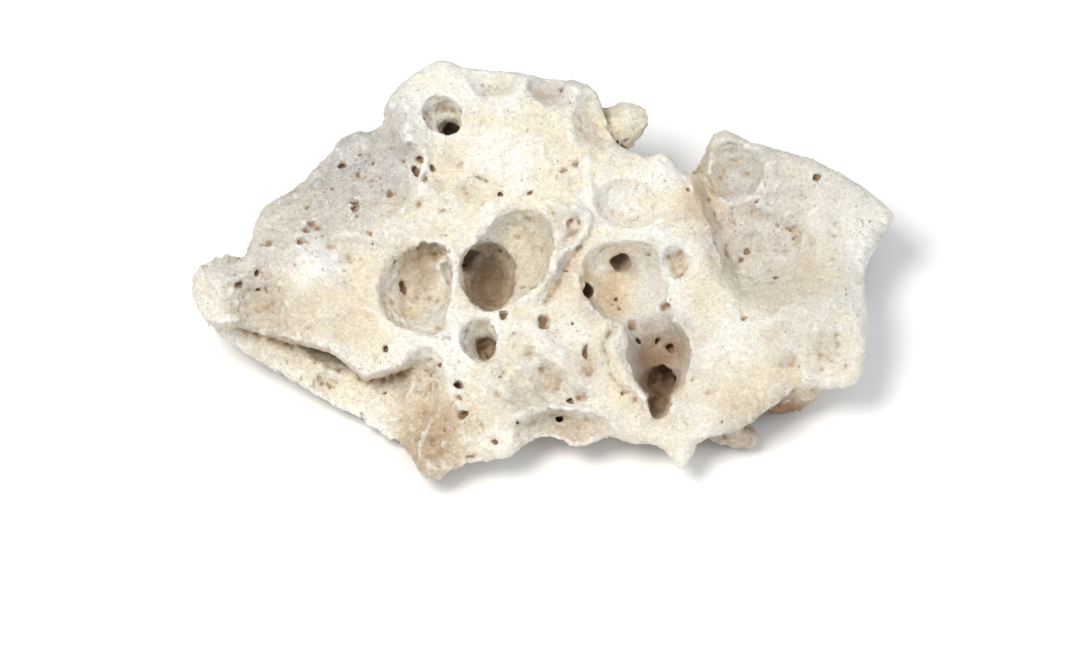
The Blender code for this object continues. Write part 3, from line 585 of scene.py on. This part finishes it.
def fine_relief(a, b):
    """Ridges and strips on the face that are finer than the solid's."""
    bent_a, bent_b = bent_plane(a, b, FOLD_WANDER, FOLD_WAVE, FOLD_SLICES)
    relief = np.zeros(np.broadcast(a, b).shape)
    for points, rise, half_width in FOLDS:
        relief += rise * np.exp(-(distance_to_path(points, bent_a, bent_b) / half_width) ** 2)
    for *where, depth in DISHES:
        relief -= depth * spot(bent_a, bent_b, *where, flatness=3)
    patch, start, end, least = SCALLOPED
    deep = least + (1.0 - least) * lerp_step(broad_waves(patch, a, b, SCALLOPED_SLICE), start, end)
    plate = lerp_step(beyond(STEP_EDGE, a, b), 0.0, PLATE_EDGE)
    for length, level in PLATE_WAVES:
        relief += PLATE_ROUGH * plate * broad_waves(length, bent_a, bent_b, level)
    for length, depth in SCALLOPS:
        relief -= depth * deep * np.abs(broad_waves(length, bent_a, bent_b, SCALLOP_SLICE))
    for *where, run_a, run_b, length, width, height in STRIPES:
        along = (a * run_a + b * run_b) / length
        across = (b * run_a - a * run_b) / width
        relief += height * spot(a, b, *where) * broad_waves(1.0, along, across, STRIPE_SLICE)
    return relief


def under_height(a, b):
    """Height d of the underside, which touches the floor at the feet and is hollow between them."""
    plate = lerp_step(a, *PLATE_START) * (1.0 - lerp_step(b, *PLATE_END))
    lift = UNDER_LIFT + (PLATE_LIFT - UNDER_LIFT) * plate
    foot = np.zeros(np.broadcast(a, b).shape)
    for foot_a, foot_b, radius in FEET:
        near = 1.0 - np.hypot(a - foot_a, b - foot_b) / radius
        foot = np.maximum(foot, lerp_step(near, 0.0, FOOT_RISE))
    return floor_height(b) + lift * (1.0 - foot) - SINK * foot


def sample(layer, grid, a, b):
    """Reads a 2D layer of the grid at each (a, b), linearly."""
    across = np.clip((a - grid.axes[0][0]) / grid.cell, 0.0, layer.shape[0] - 1.001)
    along = np.clip((b - grid.axes[1][0]) / grid.cell, 0.0, layer.shape[1] - 1.001)
    i = across.astype(np.int32)
    j = along.astype(np.int32)
    u = across - i
    v = along - j
    flat = layer.ravel()
    k = i * layer.shape[1] + j
    wide = layer.shape[1]
    low = flat[k] * (1 - v) + flat[k + 1] * v
    high = flat[k + wide] * (1 - v) + flat[k + wide + 1] * v
    return low * (1 - u) + high * u


def slab_field(grid, heights):
    """Distance to the stone before it is hollowed: face, underside and worn walls."""
    flat_a = grid.a[:, :, 0]
    flat_b = grid.b[:, :, 0]
    polygon = smooth(OUTLINE, CURVE_STEPS, closed=True)
    closed = [tuple(point) for point in polygon] + [tuple(polygon[0])]
    away = distance_to_path(closed, flat_a, flat_b)
    inside = inside_polygon(polygon, flat_a, flat_b)
    outline = np.where(inside, -away, away).astype(np.float32)
    worn = blur(outline, WORN_BLUR / grid.cell)

    edge = np.clip(away / RIM_ROUND, 0.0, 1.0)
    face = heights["face"] - RIM_ROUND * (1.0 - np.sqrt(1.0 - (1.0 - edge) ** 2)) * inside
    under = heights["under"]
    fall_a, fall_b = np.gradient(face, grid.cell)
    face_steep = 1.0 / np.sqrt(1.0 + fall_a ** 2 + fall_b ** 2)
    over_face = (grid.d - face[:, :, None]) * face_steep[:, :, None]
    below_under = (under[:, :, None] - grid.d) * math.cos(math.radians(LEAN_DEG))

    thick = np.maximum(heights["face"] - under, LEAST_THICK)
    up = np.clip((grid.d - under[:, :, None]) / thick[:, :, None], 0.0, 1.0).astype(np.float32)
    few = (slice(None, None, BULGE_STEP),) * 3
    bulge = WALL_BULGE * broad_waves(BULGE_LENGTH, grid.a[::BULGE_STEP], grid.b[:, ::BULGE_STEP],
                                     (up[few] * 2.0 - 1.0) * SLAB_HALF)
    bulge = np.pad(bulge, [(0, 2)] * 3, mode="edge")
    bulge = stretch(bulge, BULGE_STEP, grid.shape) * (1.0 - up)
    from_a = grid.a - NARROW_ABOUT[0]
    from_b = grid.b - NARROW_ABOUT[1]
    far = np.maximum(np.hypot(from_a, from_b), 1.0)
    old_a = grid.a - bulge * from_a / far + from_a * NARROWER[0] * (1.0 - up)
    old_b = grid.b - bulge * from_b / far + from_b * NARROWER[1] * (1.0 - up)
    worn_share = np.clip(WORN_SHARE[0] - WORN_SHARE[1] * up, 0.0, 1.0)
    wall = sample(outline, grid, old_a, old_b) * (1.0 - worn_share)
    wall += sample(worn, grid, old_a, old_b) * worn_share

    field = soft_max(over_face, wall, WALL_EDGE)
    return soft_max(field, below_under, UNDER_EDGE).astype(np.float32)


def egg_distance(da, db, dd, radii, turn_deg, lean):
    """Distance to an ellipsoid that is turned about d and leaned so that its foot wanders."""
    axis = Vector((-lean[0], -lean[1], 1.0)).normalized()
    leaned = Vector((0.0, 0.0, 1.0)).rotation_difference(axis).to_matrix()
    turned = Matrix.Rotation(math.radians(turn_deg), 3, "Z")
    back = np.array((leaned @ turned).transposed())
    unit = []
    steep = []
    for row, radius in zip(back, radii):
        along = da * row[0] + db * row[1] + dd * row[2]
        unit.append(along / radius)
        steep.append(along / radius ** 2)
    reach = np.sqrt(sum(u * u for u in unit))
    slope = np.sqrt(sum(s * s for s in steep)) + 1e-6
    return reach * (reach - 1.0) / slope


def bent_places(grid, warp, cut, ragged):
    """The places of some cells, bent by noise so that a form there gets ragged."""
    places = []
    for axis, broad, fine in zip((grid.a[cut[0]], grid.b[:, cut[1]], grid.d[:, :, cut[2]]), *warp):
        places.append(axis + ragged * broad[cut] + (FINE_SHARE + ragged) * fine[cut])
    return places


def join(field, cut, form, softness, add):
    """Cuts a form out of some cells of the field, or adds it to them."""
    if add:
        field[cut] = soft_min(field[cut], form, softness)
    else:
        field[cut] = soft_max(field[cut], -form, softness)


def change_egg(field, grid, warp, middle, radii, turn_deg, lean, softness, ragged=1.0, add=False):
    """Cuts an egg out of the field, or adds one to it."""
    reach = max(radii) * EGG_MARGIN + softness + MARGIN
    cut = grid.part(middle, (reach, reach, reach))
    if cut is None:
        return
    a, b, d = bent_places(grid, warp, cut, ragged)
    egg = egg_distance(a - middle[0], b - middle[1], d - middle[2], radii, turn_deg, lean)
    join(field, cut, egg, softness, add)


def change_tube(field, grid, warp, way, softness, ragged=0.6, add=False):
    """Cuts a round tunnel of changing width along its way, or adds it as a rib."""
    run = smooth(way, CURVE_STEPS)
    widest = run[:, 3].max()
    low = run[:, :3].min(axis=0)
    high = run[:, :3].max(axis=0)
    cut = grid.part((low + high) / 2, (high - low) / 2 + widest * TUBE_MARGIN + softness + MARGIN)
    a, b, d = bent_places(grid, warp, cut, ragged)
    bore = np.full(a.shape, 1e9, dtype=np.float32)
    for start, end in zip(run, run[1:]):
        step = (end - start)[:3]
        t = (a - start[0]) * step[0] + (b - start[1]) * step[1] + (d - start[2]) * step[2]
        t = np.clip(t / (step @ step), 0.0, 1.0)
        gap = np.sqrt((a - start[0] - t * step[0]) ** 2 + (b - start[1] - t * step[1]) ** 2 +
                      (d - start[2] - t * step[2]) ** 2)
        bore = np.minimum(bore, gap - (start[3] + t * (end[3] - start[3])))
    join(field, cut, bore, softness, add)


def top_of(field, grid, a, b):
    """Height d of the stone's uppermost surface at a place."""
    i = min(max(int(round((a - grid.low[0]) / grid.cell)), 0), grid.shape[0] - 1)
    j = min(max(int(round((b - grid.low[1]) / grid.cell)), 0), grid.shape[1] - 1)
    solid = np.nonzero(field[i, j] < 0.0)[0]
    return float(grid.axes[2][solid[-1]]) if len(solid) else None


def lay_ribs(field, grid, warp):
    """Lays the ribs on whatever surface lies along their way, sunk to their middle."""
    for points, widest in RIBS:
        way = []
        run = smooth(points, RIB_STEPS)[:, :2]
        for along, (a, b) in zip(np.linspace(0.0, 1.0, len(run)), run):
            radius = widest * (RIB_ENDS + (1.0 - RIB_ENDS) * math.sin(math.pi * along))
            top = top_of(field, grid, a, b)
            if top is not None and (not way or abs(top - way[-1][2]) < RIB_STEP):
                way.append((a, b, top - RIB_SUNK * widest, radius))
        if len(way) > 2:
            change_tube(field, grid, warp, way, RIB_SEAM, add=True)


def cut_pores(field, grid, warp):
    """Cuts the named pores into whatever surface lies at their place."""
    cuts = []
    for a, b, radius, other_radius, depth, turn_deg in PORES:
        top = top_of(field, grid, a, b)
        if top is not None:
            cuts.append(((a, b, top + PORE_LIFT), (radius, other_radius, depth), turn_deg))
    for middle, radii, turn_deg in cuts:
        change_egg(field, grid, warp, middle, radii, turn_deg, (0, 0), PORE_SEAM, PORE_RAGGED)


def cut_pits(field, grid, warp, random):
    """Scatters small pits over the whole surface, crowded where the stone is rough."""
    near = np.argwhere(np.abs(field) < 0.5 * grid.cell)
    places = near * grid.cell + np.array(grid.low)
    a = places[:, 0]
    b = places[:, 1]
    density = np.ones(len(places))
    for *where, more in PITTED:
        density += more * spot(a, b, *where)
    for where in UNPITTED:
        density *= 1.0 - UNPITTED_SHARE * spot(a, b, *where, flatness=2)
    chosen = random.choice(len(places), PITS, replace=False, p=density / density.sum())
    small, large = PIT_RADII
    for index in chosen:
        radius = small + (large - small) * random.random() ** PIT_RARE
        longer = radius * (1.0 + PIT_LONGER * random.random())
        deep = radius * (PIT_DEPTH[0] + PIT_DEPTH[1] * random.random())
        turn_deg = 180.0 * random.random()
        lean = (random.normal() * PIT_LEAN, random.normal() * PIT_LEAN)
        change_egg(field, grid, warp, tuple(places[index]), (longer, radius, deep), turn_deg, lean,
                   PORE_SEAM, PIT_RAGGED)


def stone_field(grid, random):
    """Distance to the whole stone, and the heights of its face and underside."""
    flat_a = np.broadcast_to(grid.a[:, :, 0], grid.shape[:2]).astype(np.float64)
    flat_b = np.broadcast_to(grid.b[:, :, 0], grid.shape[:2]).astype(np.float64)
    heights = {"face": face_height(flat_a, flat_b) + fine_relief(flat_a, flat_b),
               "under": under_height(flat_a, flat_b)}
    field = slab_field(grid, heights)
    broad = [wave_field(random, grid, BROAD_WARP) for _ in range(3)]
    fine = [sum(height * wave_field(random, grid, wave) for wave, height in FINE_WARP)
            for _ in range(3)]
    warp = (broad, fine)
    for name, middle, radii, turn_deg, ragged in LUMPS:
        change_egg(field, grid, warp, middle, radii, turn_deg, (0, 0), LUMP_SEAM, ragged, add=True)
    rough = patches("rough", flat_a.ravel(), flat_b.ravel()).reshape(grid.shape[:2])
    plain_depth = np.clip((heights["face"][:, :, None] - grid.d) / ROUGH_DEPTH, 0.0, 1.0)
    rough = np.maximum(rough[:, :, None], ROUGH_SIDES * plain_depth).astype(np.float32)
    for wave, spread, height, more in ROUGHNESS:
        field += (height + more * rough) * wave_field(random, grid, wave, spread)
    for name, a, b, radius, other_radius, depth, softness, ragged, *bent in HOLLOWS:
        turn_deg, *lean = (bent + [0, 0, 0])[:3]
        width = 0.5 * (radius + other_radius)
        tall = (width ** 2 + depth ** 2) / (2.0 * depth) if depth < width else depth
        above = tall - depth
        spread = 1.0 / math.sqrt(1.0 - (above / tall) ** 2)
        surface = float(face_height(np.array([float(a)]), np.array([float(b)]))[0])
        radii = (radius * spread, other_radius * spread, tall)
        change_egg(field, grid, warp, (a, b, surface + above), radii, turn_deg, lean, softness, ragged)
    for *egg, turn_deg in SIDE_HOLLOWS:
        change_egg(field, grid, warp, egg[:3], egg[3:], turn_deg, (0, 0), SIDE_SEAM)
    lay_ribs(field, grid, warp)
    for name, way, ragged in TUNNELS:
        change_tube(field, grid, warp, way, TUNNEL_SEAM, ragged)
    field += sum(height * wave_field(random, grid, wave, spread) for wave, spread, height in GRAIN)
    cut_pores(field, grid, warp)
    cut_pits(field, grid, warp, random)
    return field, heights


def level_feet(field, grid):
    """Cuts the field off below the floor."""
    lean = math.radians(LEAN_DEG)
    height = grid.b * math.sin(lean) + grid.d * math.cos(lean) + ORIGIN_SHIFT[2]
    return np.maximum(field, -height)


def stone_pose():
    shift = Matrix.Translation(Vector(ORIGIN_SHIFT) * MM)
    return shift @ Matrix.Rotation(math.radians(LEAN_DEG), 4, "X") @ Matrix.Scale(MM, 4)


def mesh_of(field, grid):
    """The surface where the field is zero, with its largest piece alone kept."""
    vdb = openvdb.FloatGrid(background=BAND)
    vdb.copyFromArray(np.ascontiguousarray(np.clip(field, -BAND, BAND)))
    points, triangles, quads = vdb.convertToPolygons(isovalue=0.0)
    points = points * grid.cell + np.array(grid.low)
    kept = largest_piece(len(points), (triangles, quads))
    number = np.cumsum(kept) - 1
    faces = []
    for corners in (quads, triangles):
        faces += number[corners[kept[corners[:, 0]]]].tolist()
    mesh = bpy.data.meshes.new("holey_rock_surface")
    mesh.from_pydata(points[kept].tolist(), [], faces)
    return mesh


def largest_piece(count, kinds):
    """True for the points of the largest connected piece."""
    edges = np.concatenate([np.stack([corners[:, k], np.roll(corners, -1, axis=1)[:, k]], axis=1)
                            for corners in kinds for k in range(corners.shape[1])]).astype(np.int64)
    label = np.arange(count)
    while True:
        lowest = np.minimum(label[edges[:, 0]], label[edges[:, 1]])
        better = label.copy()
        np.minimum.at(better, label[edges[:, 0]], lowest)
        np.minimum.at(better, label[edges[:, 1]], lowest)
        better = better[better]
        if np.array_equal(better, label):
            break
        label = better
    return label == np.bincount(label).argmax()


def blur_solid(solid, grid, reach):
    """Share of solid around each cell, over a Gaussian of the given reach."""
    cells = reach / grid.cell
    spectrum = np.fft.rfftn(solid)
    for axis, size in enumerate(solid.shape):
        waves = np.fft.rfftfreq(size) if axis == 2 else np.fft.fftfreq(size)
        fall = np.exp(-2.0 * (math.pi * cells * waves) ** 2).astype(np.float32)
        shape = [1, 1, 1]
        shape[axis] = -1
        spectrum *= fall.reshape(shape)
    return np.fft.irfftn(spectrum, s=solid.shape).astype(np.float32)


def sample_solid(volume, grid, places):
    """Reads a 3D field at each place, linearly."""
    cells = (places - np.array(grid.low)) / grid.cell
    low = np.clip(cells.astype(np.int32), 0, np.array(volume.shape) - 2)
    share = (cells - low).astype(np.float32)
    total = np.zeros(len(places), dtype=np.float32)
    for i in (0, 1):
        for j in (0, 1):
            for k in (0, 1):
                weight = np.abs(1 - i - share[:, 0]) * np.abs(1 - j - share[:, 1])
                weight = weight * np.abs(1 - k - share[:, 2])
                total += weight * volume[low[:, 0] + i, low[:, 1] + j, low[:, 2] + k]
    return total


def patches(name, a, b):
    """Strength, from 0 to 1, of one kind of patches on the face."""
    total = np.zeros(len(a), dtype=np.float32)
    for *where, strength in PATCHES[name]:
        total = 1.0 - (1.0 - total) * (1.0 - strength * spot(a, b, *where))
    return total


def mark(mesh, name, values):
    mesh.attributes.new(name, "FLOAT", "POINT").data.foreach_set("value", values.astype(np.float32))


def thin_out(stone, share):
    """Leaves a share of the triangles, where the form needs them most."""
    decimate = stone.modifiers.new("fewer", "DECIMATE")
    decimate.ratio = share
    evaluated = stone.evaluated_get(bpy.context.evaluated_depsgraph_get())
    mesh = bpy.data.meshes.new_from_object(evaluated)
    stone.modifiers.clear()
    old_mesh = stone.data
    stone.data = mesh
    bpy.data.meshes.remove(old_mesh)


def new_object(name, data):
    thing = bpy.data.objects.new(name, data)
    bpy.context.scene.collection.objects.link(thing)
    return thing


def build_stone():
    grid = Grid(CELL, LOW_CORNER, HIGH_CORNER)
    random = np.random.default_rng(SEED)
    field, heights = stone_field(grid, random)
    field = level_feet(field, grid)
    mesh = mesh_of(field, grid)
    stone = new_object("holey_rock_surface", mesh)

    triangles = sum(len(polygon.vertices) - 2 for polygon in mesh.polygons)
    if triangles > TRIANGLES:
        thin_out(stone, TRIANGLES / triangles)
    mesh = stone.data

    places = np.empty(len(mesh.vertices) * 3, dtype=np.float32)
    mesh.vertices.foreach_get("co", places)
    places = places.reshape(-1, 3)
    a = places[:, 0]
    b = places[:, 1]
    solid = np.clip(0.5 - field / grid.cell, 0.0, 1.0).astype(np.float32)
    depth = sample(heights["face"], grid, a, b) - places[:, 2]
    mark(mesh, "depth", depth)
    for name, reach in MARK_REACHES.items():
        around = sample_solid(blur_solid(solid, grid, reach), grid, places)
        mark(mesh, name, around * 2.0 - 1.0)
    plate = lerp_step(beyond(STEP_EDGE, a, b), 0.0, PLATE_EDGE)
    mark(mesh, "plate", plate * (1.0 - 0.5 * lerp_step(-b, *PLATE_PALER)))
    bent = bent_plane(a, b, PATCH_WANDER, PATCH_WAVE, PATCH_SLICES)
    for name in PATCHES:
        mark(mesh, name, patches(name, *bent))
    mesh.transform(stone_pose())
    return stone


class Nodes:
    """Short words for building a node tree."""

    def __init__(self, tree):
        self.tree = tree

    def add(self, kind, *values, **settings):
        """A new node, with values or links for its first inputs, None for one that is left alone."""
        node = self.tree.nodes.new(kind)
        for name, value in settings.items():
            setattr(node, name, value)
        for value, socket in zip(values, node.inputs):
            if value is not None:
                self.put(value, socket)
        return node

    def put(self, value, socket):
        if isinstance(value, bpy.types.NodeSocket):
            self.tree.links.new(value, socket)
        else:
            socket.default_value = value

    def math(self, operation, one, other):
        return self.add("ShaderNodeMath", one, other, operation=operation).outputs[0]

    def times(self, one, other):
        return self.math("MULTIPLY", one, other)

    def ramp(self, value, low, high, new_low=0.0, new_high=1.0):
        """Goes smoothly from new_low to new_high as the value goes from low to high."""
        return self.add("ShaderNodeMapRange", value, low, high, new_low, new_high,
                        interpolation_type="SMOOTHSTEP").outputs[0]

    def mix(self, share, one, other, blend="MIX"):
        return self.add("ShaderNodeMix", share, None, None, None, None, None, one, other,
                        data_type="RGBA", blend_type=blend).outputs[2]

    def lay(self, share, paint):
        """Lays a share of a paint over the colour so far."""
        self.colour = self.mix(share, self.colour, paint)

    def mark(self, name):
        return self.add("ShaderNodeAttribute", attribute_name=name).outputs["Fac"]

    def noise(self, vector, waves, detail=3.0, roughness=0.6):
        """Noise with waves of a length in millimetres."""
        return self.add("ShaderNodeTexNoise", vector, None, 1.0 / (waves * MM), detail,
                        roughness).outputs["Fac"]

    def pores(self, vector, size, widest, share):
        """Round pores of many widths, in some of a scatter of cells of a size in millimetres."""
        node = self.add("ShaderNodeTexVoronoi", vector, None, 1.0 / (size * MM))
        apart = self.add("ShaderNodeSeparateColor", node.outputs["Color"])
        width = self.ramp(apart.outputs[1], 0.0, 1.0, 0.25 * widest, widest)
        inside = self.math("DIVIDE", node.outputs["Distance"], width)
        chosen = self.ramp(apart.outputs[0], share, share + 0.04)
        pore = self.times(self.ramp(inside, 1.0, 0.6), chosen)
        return self.times(pore, self.ramp(apart.outputs[2], 0.0, 1.0, 0.35, 1.0))


CREAM = (0.86, 0.785, 0.625, 1.0)
PALE = (0.90, 0.88, 0.80, 1.0)
TAN = (0.55, 0.42, 0.28, 1.0)
OCHRE = (0.76, 0.58, 0.36, 1.0)
BROWN = (0.33, 0.20, 0.115, 1.0)
GREY = (0.475, 0.455, 0.435, 1.0)
STONE = (0.62, 0.56, 0.475, 1.0)
# chalk white, also the colour of the painted highlights on ridges and edges
CHALK_AND_HIGHLIGHT = (0.94, 0.925, 0.87, 1.0)
SHEEN = 0.25
BUMP_STRENGTH = 0.9
BUMP_DEPTH = 1.2


def new_material(name):
    material = bpy.data.materials.new(name)
    material.use_nodes = True
    return material, material.node_tree.nodes["Principled BSDF"]


def stone_material():
    material, shader = new_material("cream_limestone_surface")
    n = Nodes(material.node_tree)
    place = n.add("ShaderNodeTexCoord").outputs["Object"]
    depth = n.mark("depth")
    hollow = n.mark("hollow")
    crease = n.mark("crease")

    broad = n.noise(place, 30.0, 3.0)
    middle = n.noise(place, 9.0, 5.0, 0.65)
    crumbs = n.noise(place, 3.6, 5.0, 0.72)
    fine = n.noise(place, 1.7, 5.0, 0.75)
    grain = n.noise(place, 0.6, 3.0, 0.7)
    rough = n.mark("rough")

    n.colour = n.mix(n.ramp(broad, 0.42, 0.60), CREAM, PALE)
    n.lay(n.times(n.ramp(middle, 0.50, 0.66), 0.24), TAN)
    open_face = n.ramp(depth, 22.0, 9.0)
    # dirt and painted shade: a grey stone tone in the face's shallow dips
    valley_dirt_and_shade = n.times(n.ramp(hollow, 0.02, 0.22), n.ramp(crumbs, 0.35, 0.62, 0.25, 0.62))
    n.lay(n.times(valley_dirt_and_shade, n.ramp(depth, 14.0, 6.0)), STONE)
    # painted highlight: chalk white on the face's broad ridges
    ridge_highlight = n.times(n.ramp(hollow, -0.04, -0.24), n.ramp(middle, 0.36, 0.60, 0.10, 0.42))
    n.lay(n.times(ridge_highlight, open_face), CHALK_AND_HIGHLIGHT)
    n.lay(n.times(n.mark("plate"), 0.38), STONE)
    n.lay(n.times(n.mark("warm"), 0.85), OCHRE)
    # grey patches: grey tone and painted shade on slopes and hollow walls
    n.lay(n.times(n.mark("grey"), n.ramp(middle, 0.36, 0.58, 1.0, 0.60)), GREY)
    # tan patches: tan stains and painted shade in recesses
    n.lay(n.times(n.mark("tan"), n.ramp(crumbs, 0.36, 0.60, 0.45, 1.0)), TAN)
    # tan stain and painted shade inside the hollows, growing with their depth
    hollow_stain_and_shade = n.times(n.ramp(hollow, 0.0, 0.40), n.ramp(depth, 5.0, 18.0))
    hollow_stain_and_shade = n.times(hollow_stain_and_shade, n.ramp(n.noise(place, 6.0, 5.0, 0.7), 0.35, 0.62, 0.05, 0.35))
    n.lay(hollow_stain_and_shade, TAN)
    # painted shade: brown deep down in the holes, where little light reaches
    deep = n.times(n.ramp(depth, 16.0, 42.0), n.ramp(hollow, -0.10, 0.30))
    n.lay(n.times(deep, 0.8), BROWN)
    # brown patches: painted shade in holes and under the rim, with some brown stain
    n.lay(n.times(n.mark("brown"), n.ramp(depth, 6.0, 15.0, 0.25, 1.0)), BROWN)

    crumb = n.times(n.ramp(crumbs, 0.53, 0.68), n.ramp(fine, 0.35, 0.60, 0.2, 0.65))
    n.lay(n.times(crumb, open_face), CHALK_AND_HIGHLIGHT)
    n.lay(n.times(n.ramp(fine, 0.52, 0.68), n.math("ADD", n.times(rough, 0.36), 0.16)), TAN)
    # painted highlight: chalk white along crisp convex edges
    edge_highlight = n.times(n.ramp(crease, -0.10, -0.40), n.ramp(middle, 0.38, 0.60, 0.05, 0.8))
    n.lay(n.times(edge_highlight, open_face), CHALK_AND_HIGHLIGHT)
    # whiter patches: chalky crust and painted light on walls and scoop floors
    n.lay(n.times(n.mark("chalk_and_light"), n.ramp(crumbs, 0.42, 0.52, 0.20, 1.0)), CHALK_AND_HIGHLIGHT)
    # painted shade: tan in and around small dents and pits
    dent_shade = n.times(n.ramp(n.mark("dent"), 0.13, 0.38), n.ramp(crumbs, 0.35, 0.60, 0.3, 0.9))
    n.lay(dent_shade, TAN)
    # painted shade: brown in tight creases
    n.lay(n.times(n.ramp(crease, 0.14, 0.50), 0.85), BROWN)

    # brown specks of pores, partly the painted shade of tiny pores that the form is too coarse to hold
    pores = n.math("MAXIMUM", n.pores(place, 3.0, 0.24, 0.78), n.pores(place, 1.3, 0.36, 0.74))
    where = n.math("MAXIMUM", n.ramp(n.noise(place, 14.0, 4.0), 0.46, 0.62), n.times(rough, 0.8))
    pores = n.times(pores, where)
    n.lay(n.times(pores, 0.75), BROWN)
    shade = n.times(n.ramp(grain, 0.25, 0.75, 0.86, 1.10), n.ramp(fine, 0.30, 0.70, 1.08, 0.86))
    shade = n.times(shade, n.ramp(crumbs, 0.35, 0.65, 1.05, 0.94))
    n.put(n.mix(1.0, n.colour, shade, "MULTIPLY"), shader.inputs["Base Color"])

    n.put(n.ramp(fine, 0.3, 0.7, 0.82, 0.96), shader.inputs["Roughness"])
    shader.inputs["Specular IOR Level"].default_value = SHEEN
    height = n.math("ADD", n.times(crumbs, 0.7), n.times(fine, -0.65))
    height = n.math("ADD", height, n.times(grain, 0.30))
    height = n.math("SUBTRACT", height, n.times(pores, 0.9))
    bump = n.add("ShaderNodeBump")
    bump.inputs["Strength"].default_value = BUMP_STRENGTH
    bump.inputs["Distance"].default_value = BUMP_DEPTH * MM
    n.put(height, bump.inputs["Height"])
    n.put(bump.outputs["Normal"], shader.inputs["Normal"])
    return material


# ---- camera and light --------------------------------------------------------------------------
VIEW_SIZE = (1070, 659)         # width and height of the view, in dots
VIEW_SCALE = 2.3                # dots for a millimetre of the stone's face
VIEW_ORIGIN = (550, 270)        # the dot that shows a = 0, b = 0
LENS = 180.0
SENSOR = 36.0
FAR_CLIP = 50.0

FLOOR_SIZE = 6.0
FLOOR_COLOUR = (0.9, 0.9, 0.9, 1.0)
FLOOR_ROUGHNESS = 0.8
SKY_COLOUR = (0.93, 0.96, 1.0, 1.0)
SKY_STRENGTH = 0.60
LIGHT_TARGET = (0.0, 0.0, 0.04)
# name, place, size, power, colour
LIGHTS = [
    ("key", (-0.64, -0.42, 1.58), 0.8, 23.0, (1.0, 0.965, 0.90)),
    ("fill", (1.3, -0.5, 1.0), 1.4, 7.0, (0.88, 0.93, 1.0)),
]


def add_camera():
    """The camera looks straight down on the holed face from afar."""
    data = bpy.data.cameras.new("camera")
    data.lens = LENS
    data.sensor_width = SENSOR
    data.clip_end = FAR_CLIP
    camera = new_object("camera", data)
    away = VIEW_SIZE[0] / VIEW_SCALE * LENS / SENSOR
    middle_a = (VIEW_SIZE[0] / 2 - VIEW_ORIGIN[0]) / VIEW_SCALE
    middle_b = (VIEW_ORIGIN[1] - VIEW_SIZE[1] / 2) / VIEW_SCALE
    turn = Matrix.Rotation(math.radians(LEAN_DEG), 4, "X")
    shift = Matrix.Translation(Vector(ORIGIN_SHIFT) * MM)
    place = Matrix.Translation(Vector((middle_a, middle_b, FACE_HEIGHT + away)) * MM)
    camera.matrix_world = shift @ turn @ place
    bpy.context.scene.camera = camera


def add_light(name, place, size, power, colour):
    data = bpy.data.lights.new(name, "AREA")
    data.shape = "DISK"
    data.size = size
    data.energy = power
    data.color = colour
    light = new_object(name, data)
    light.location = place
    aim = Vector(LIGHT_TARGET) - Vector(place)
    light.rotation_euler = aim.to_track_quat("-Z", "Y").to_euler()


def add_stage():
    bpy.ops.mesh.primitive_plane_add(size=FLOOR_SIZE, location=(0.0, 0.0, 0.0))
    floor = bpy.context.object
    floor.name = "floor"
    material, shader = new_material("studio_floor")
    shader.inputs["Base Color"].default_value = FLOOR_COLOUR
    shader.inputs["Roughness"].default_value = FLOOR_ROUGHNESS
    floor.data.materials.append(material)
    world = bpy.data.worlds.new("studio")
    bpy.context.scene.world = world
    world.use_nodes = True
    background = world.node_tree.nodes["Background"]
    background.inputs["Color"].default_value = SKY_COLOUR
    background.inputs["Strength"].default_value = SKY_STRENGTH
    for light in LIGHTS:
        add_light(*light)
    bpy.context.scene.view_settings.view_transform = "Standard"


stone = build_stone()
stone.data.materials.append(stone_material())
stone.data.shade_smooth()
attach(stone, "root")
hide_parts("holey_rock")
add_stage()
add_camera()

bpy.context.view_layer.update()
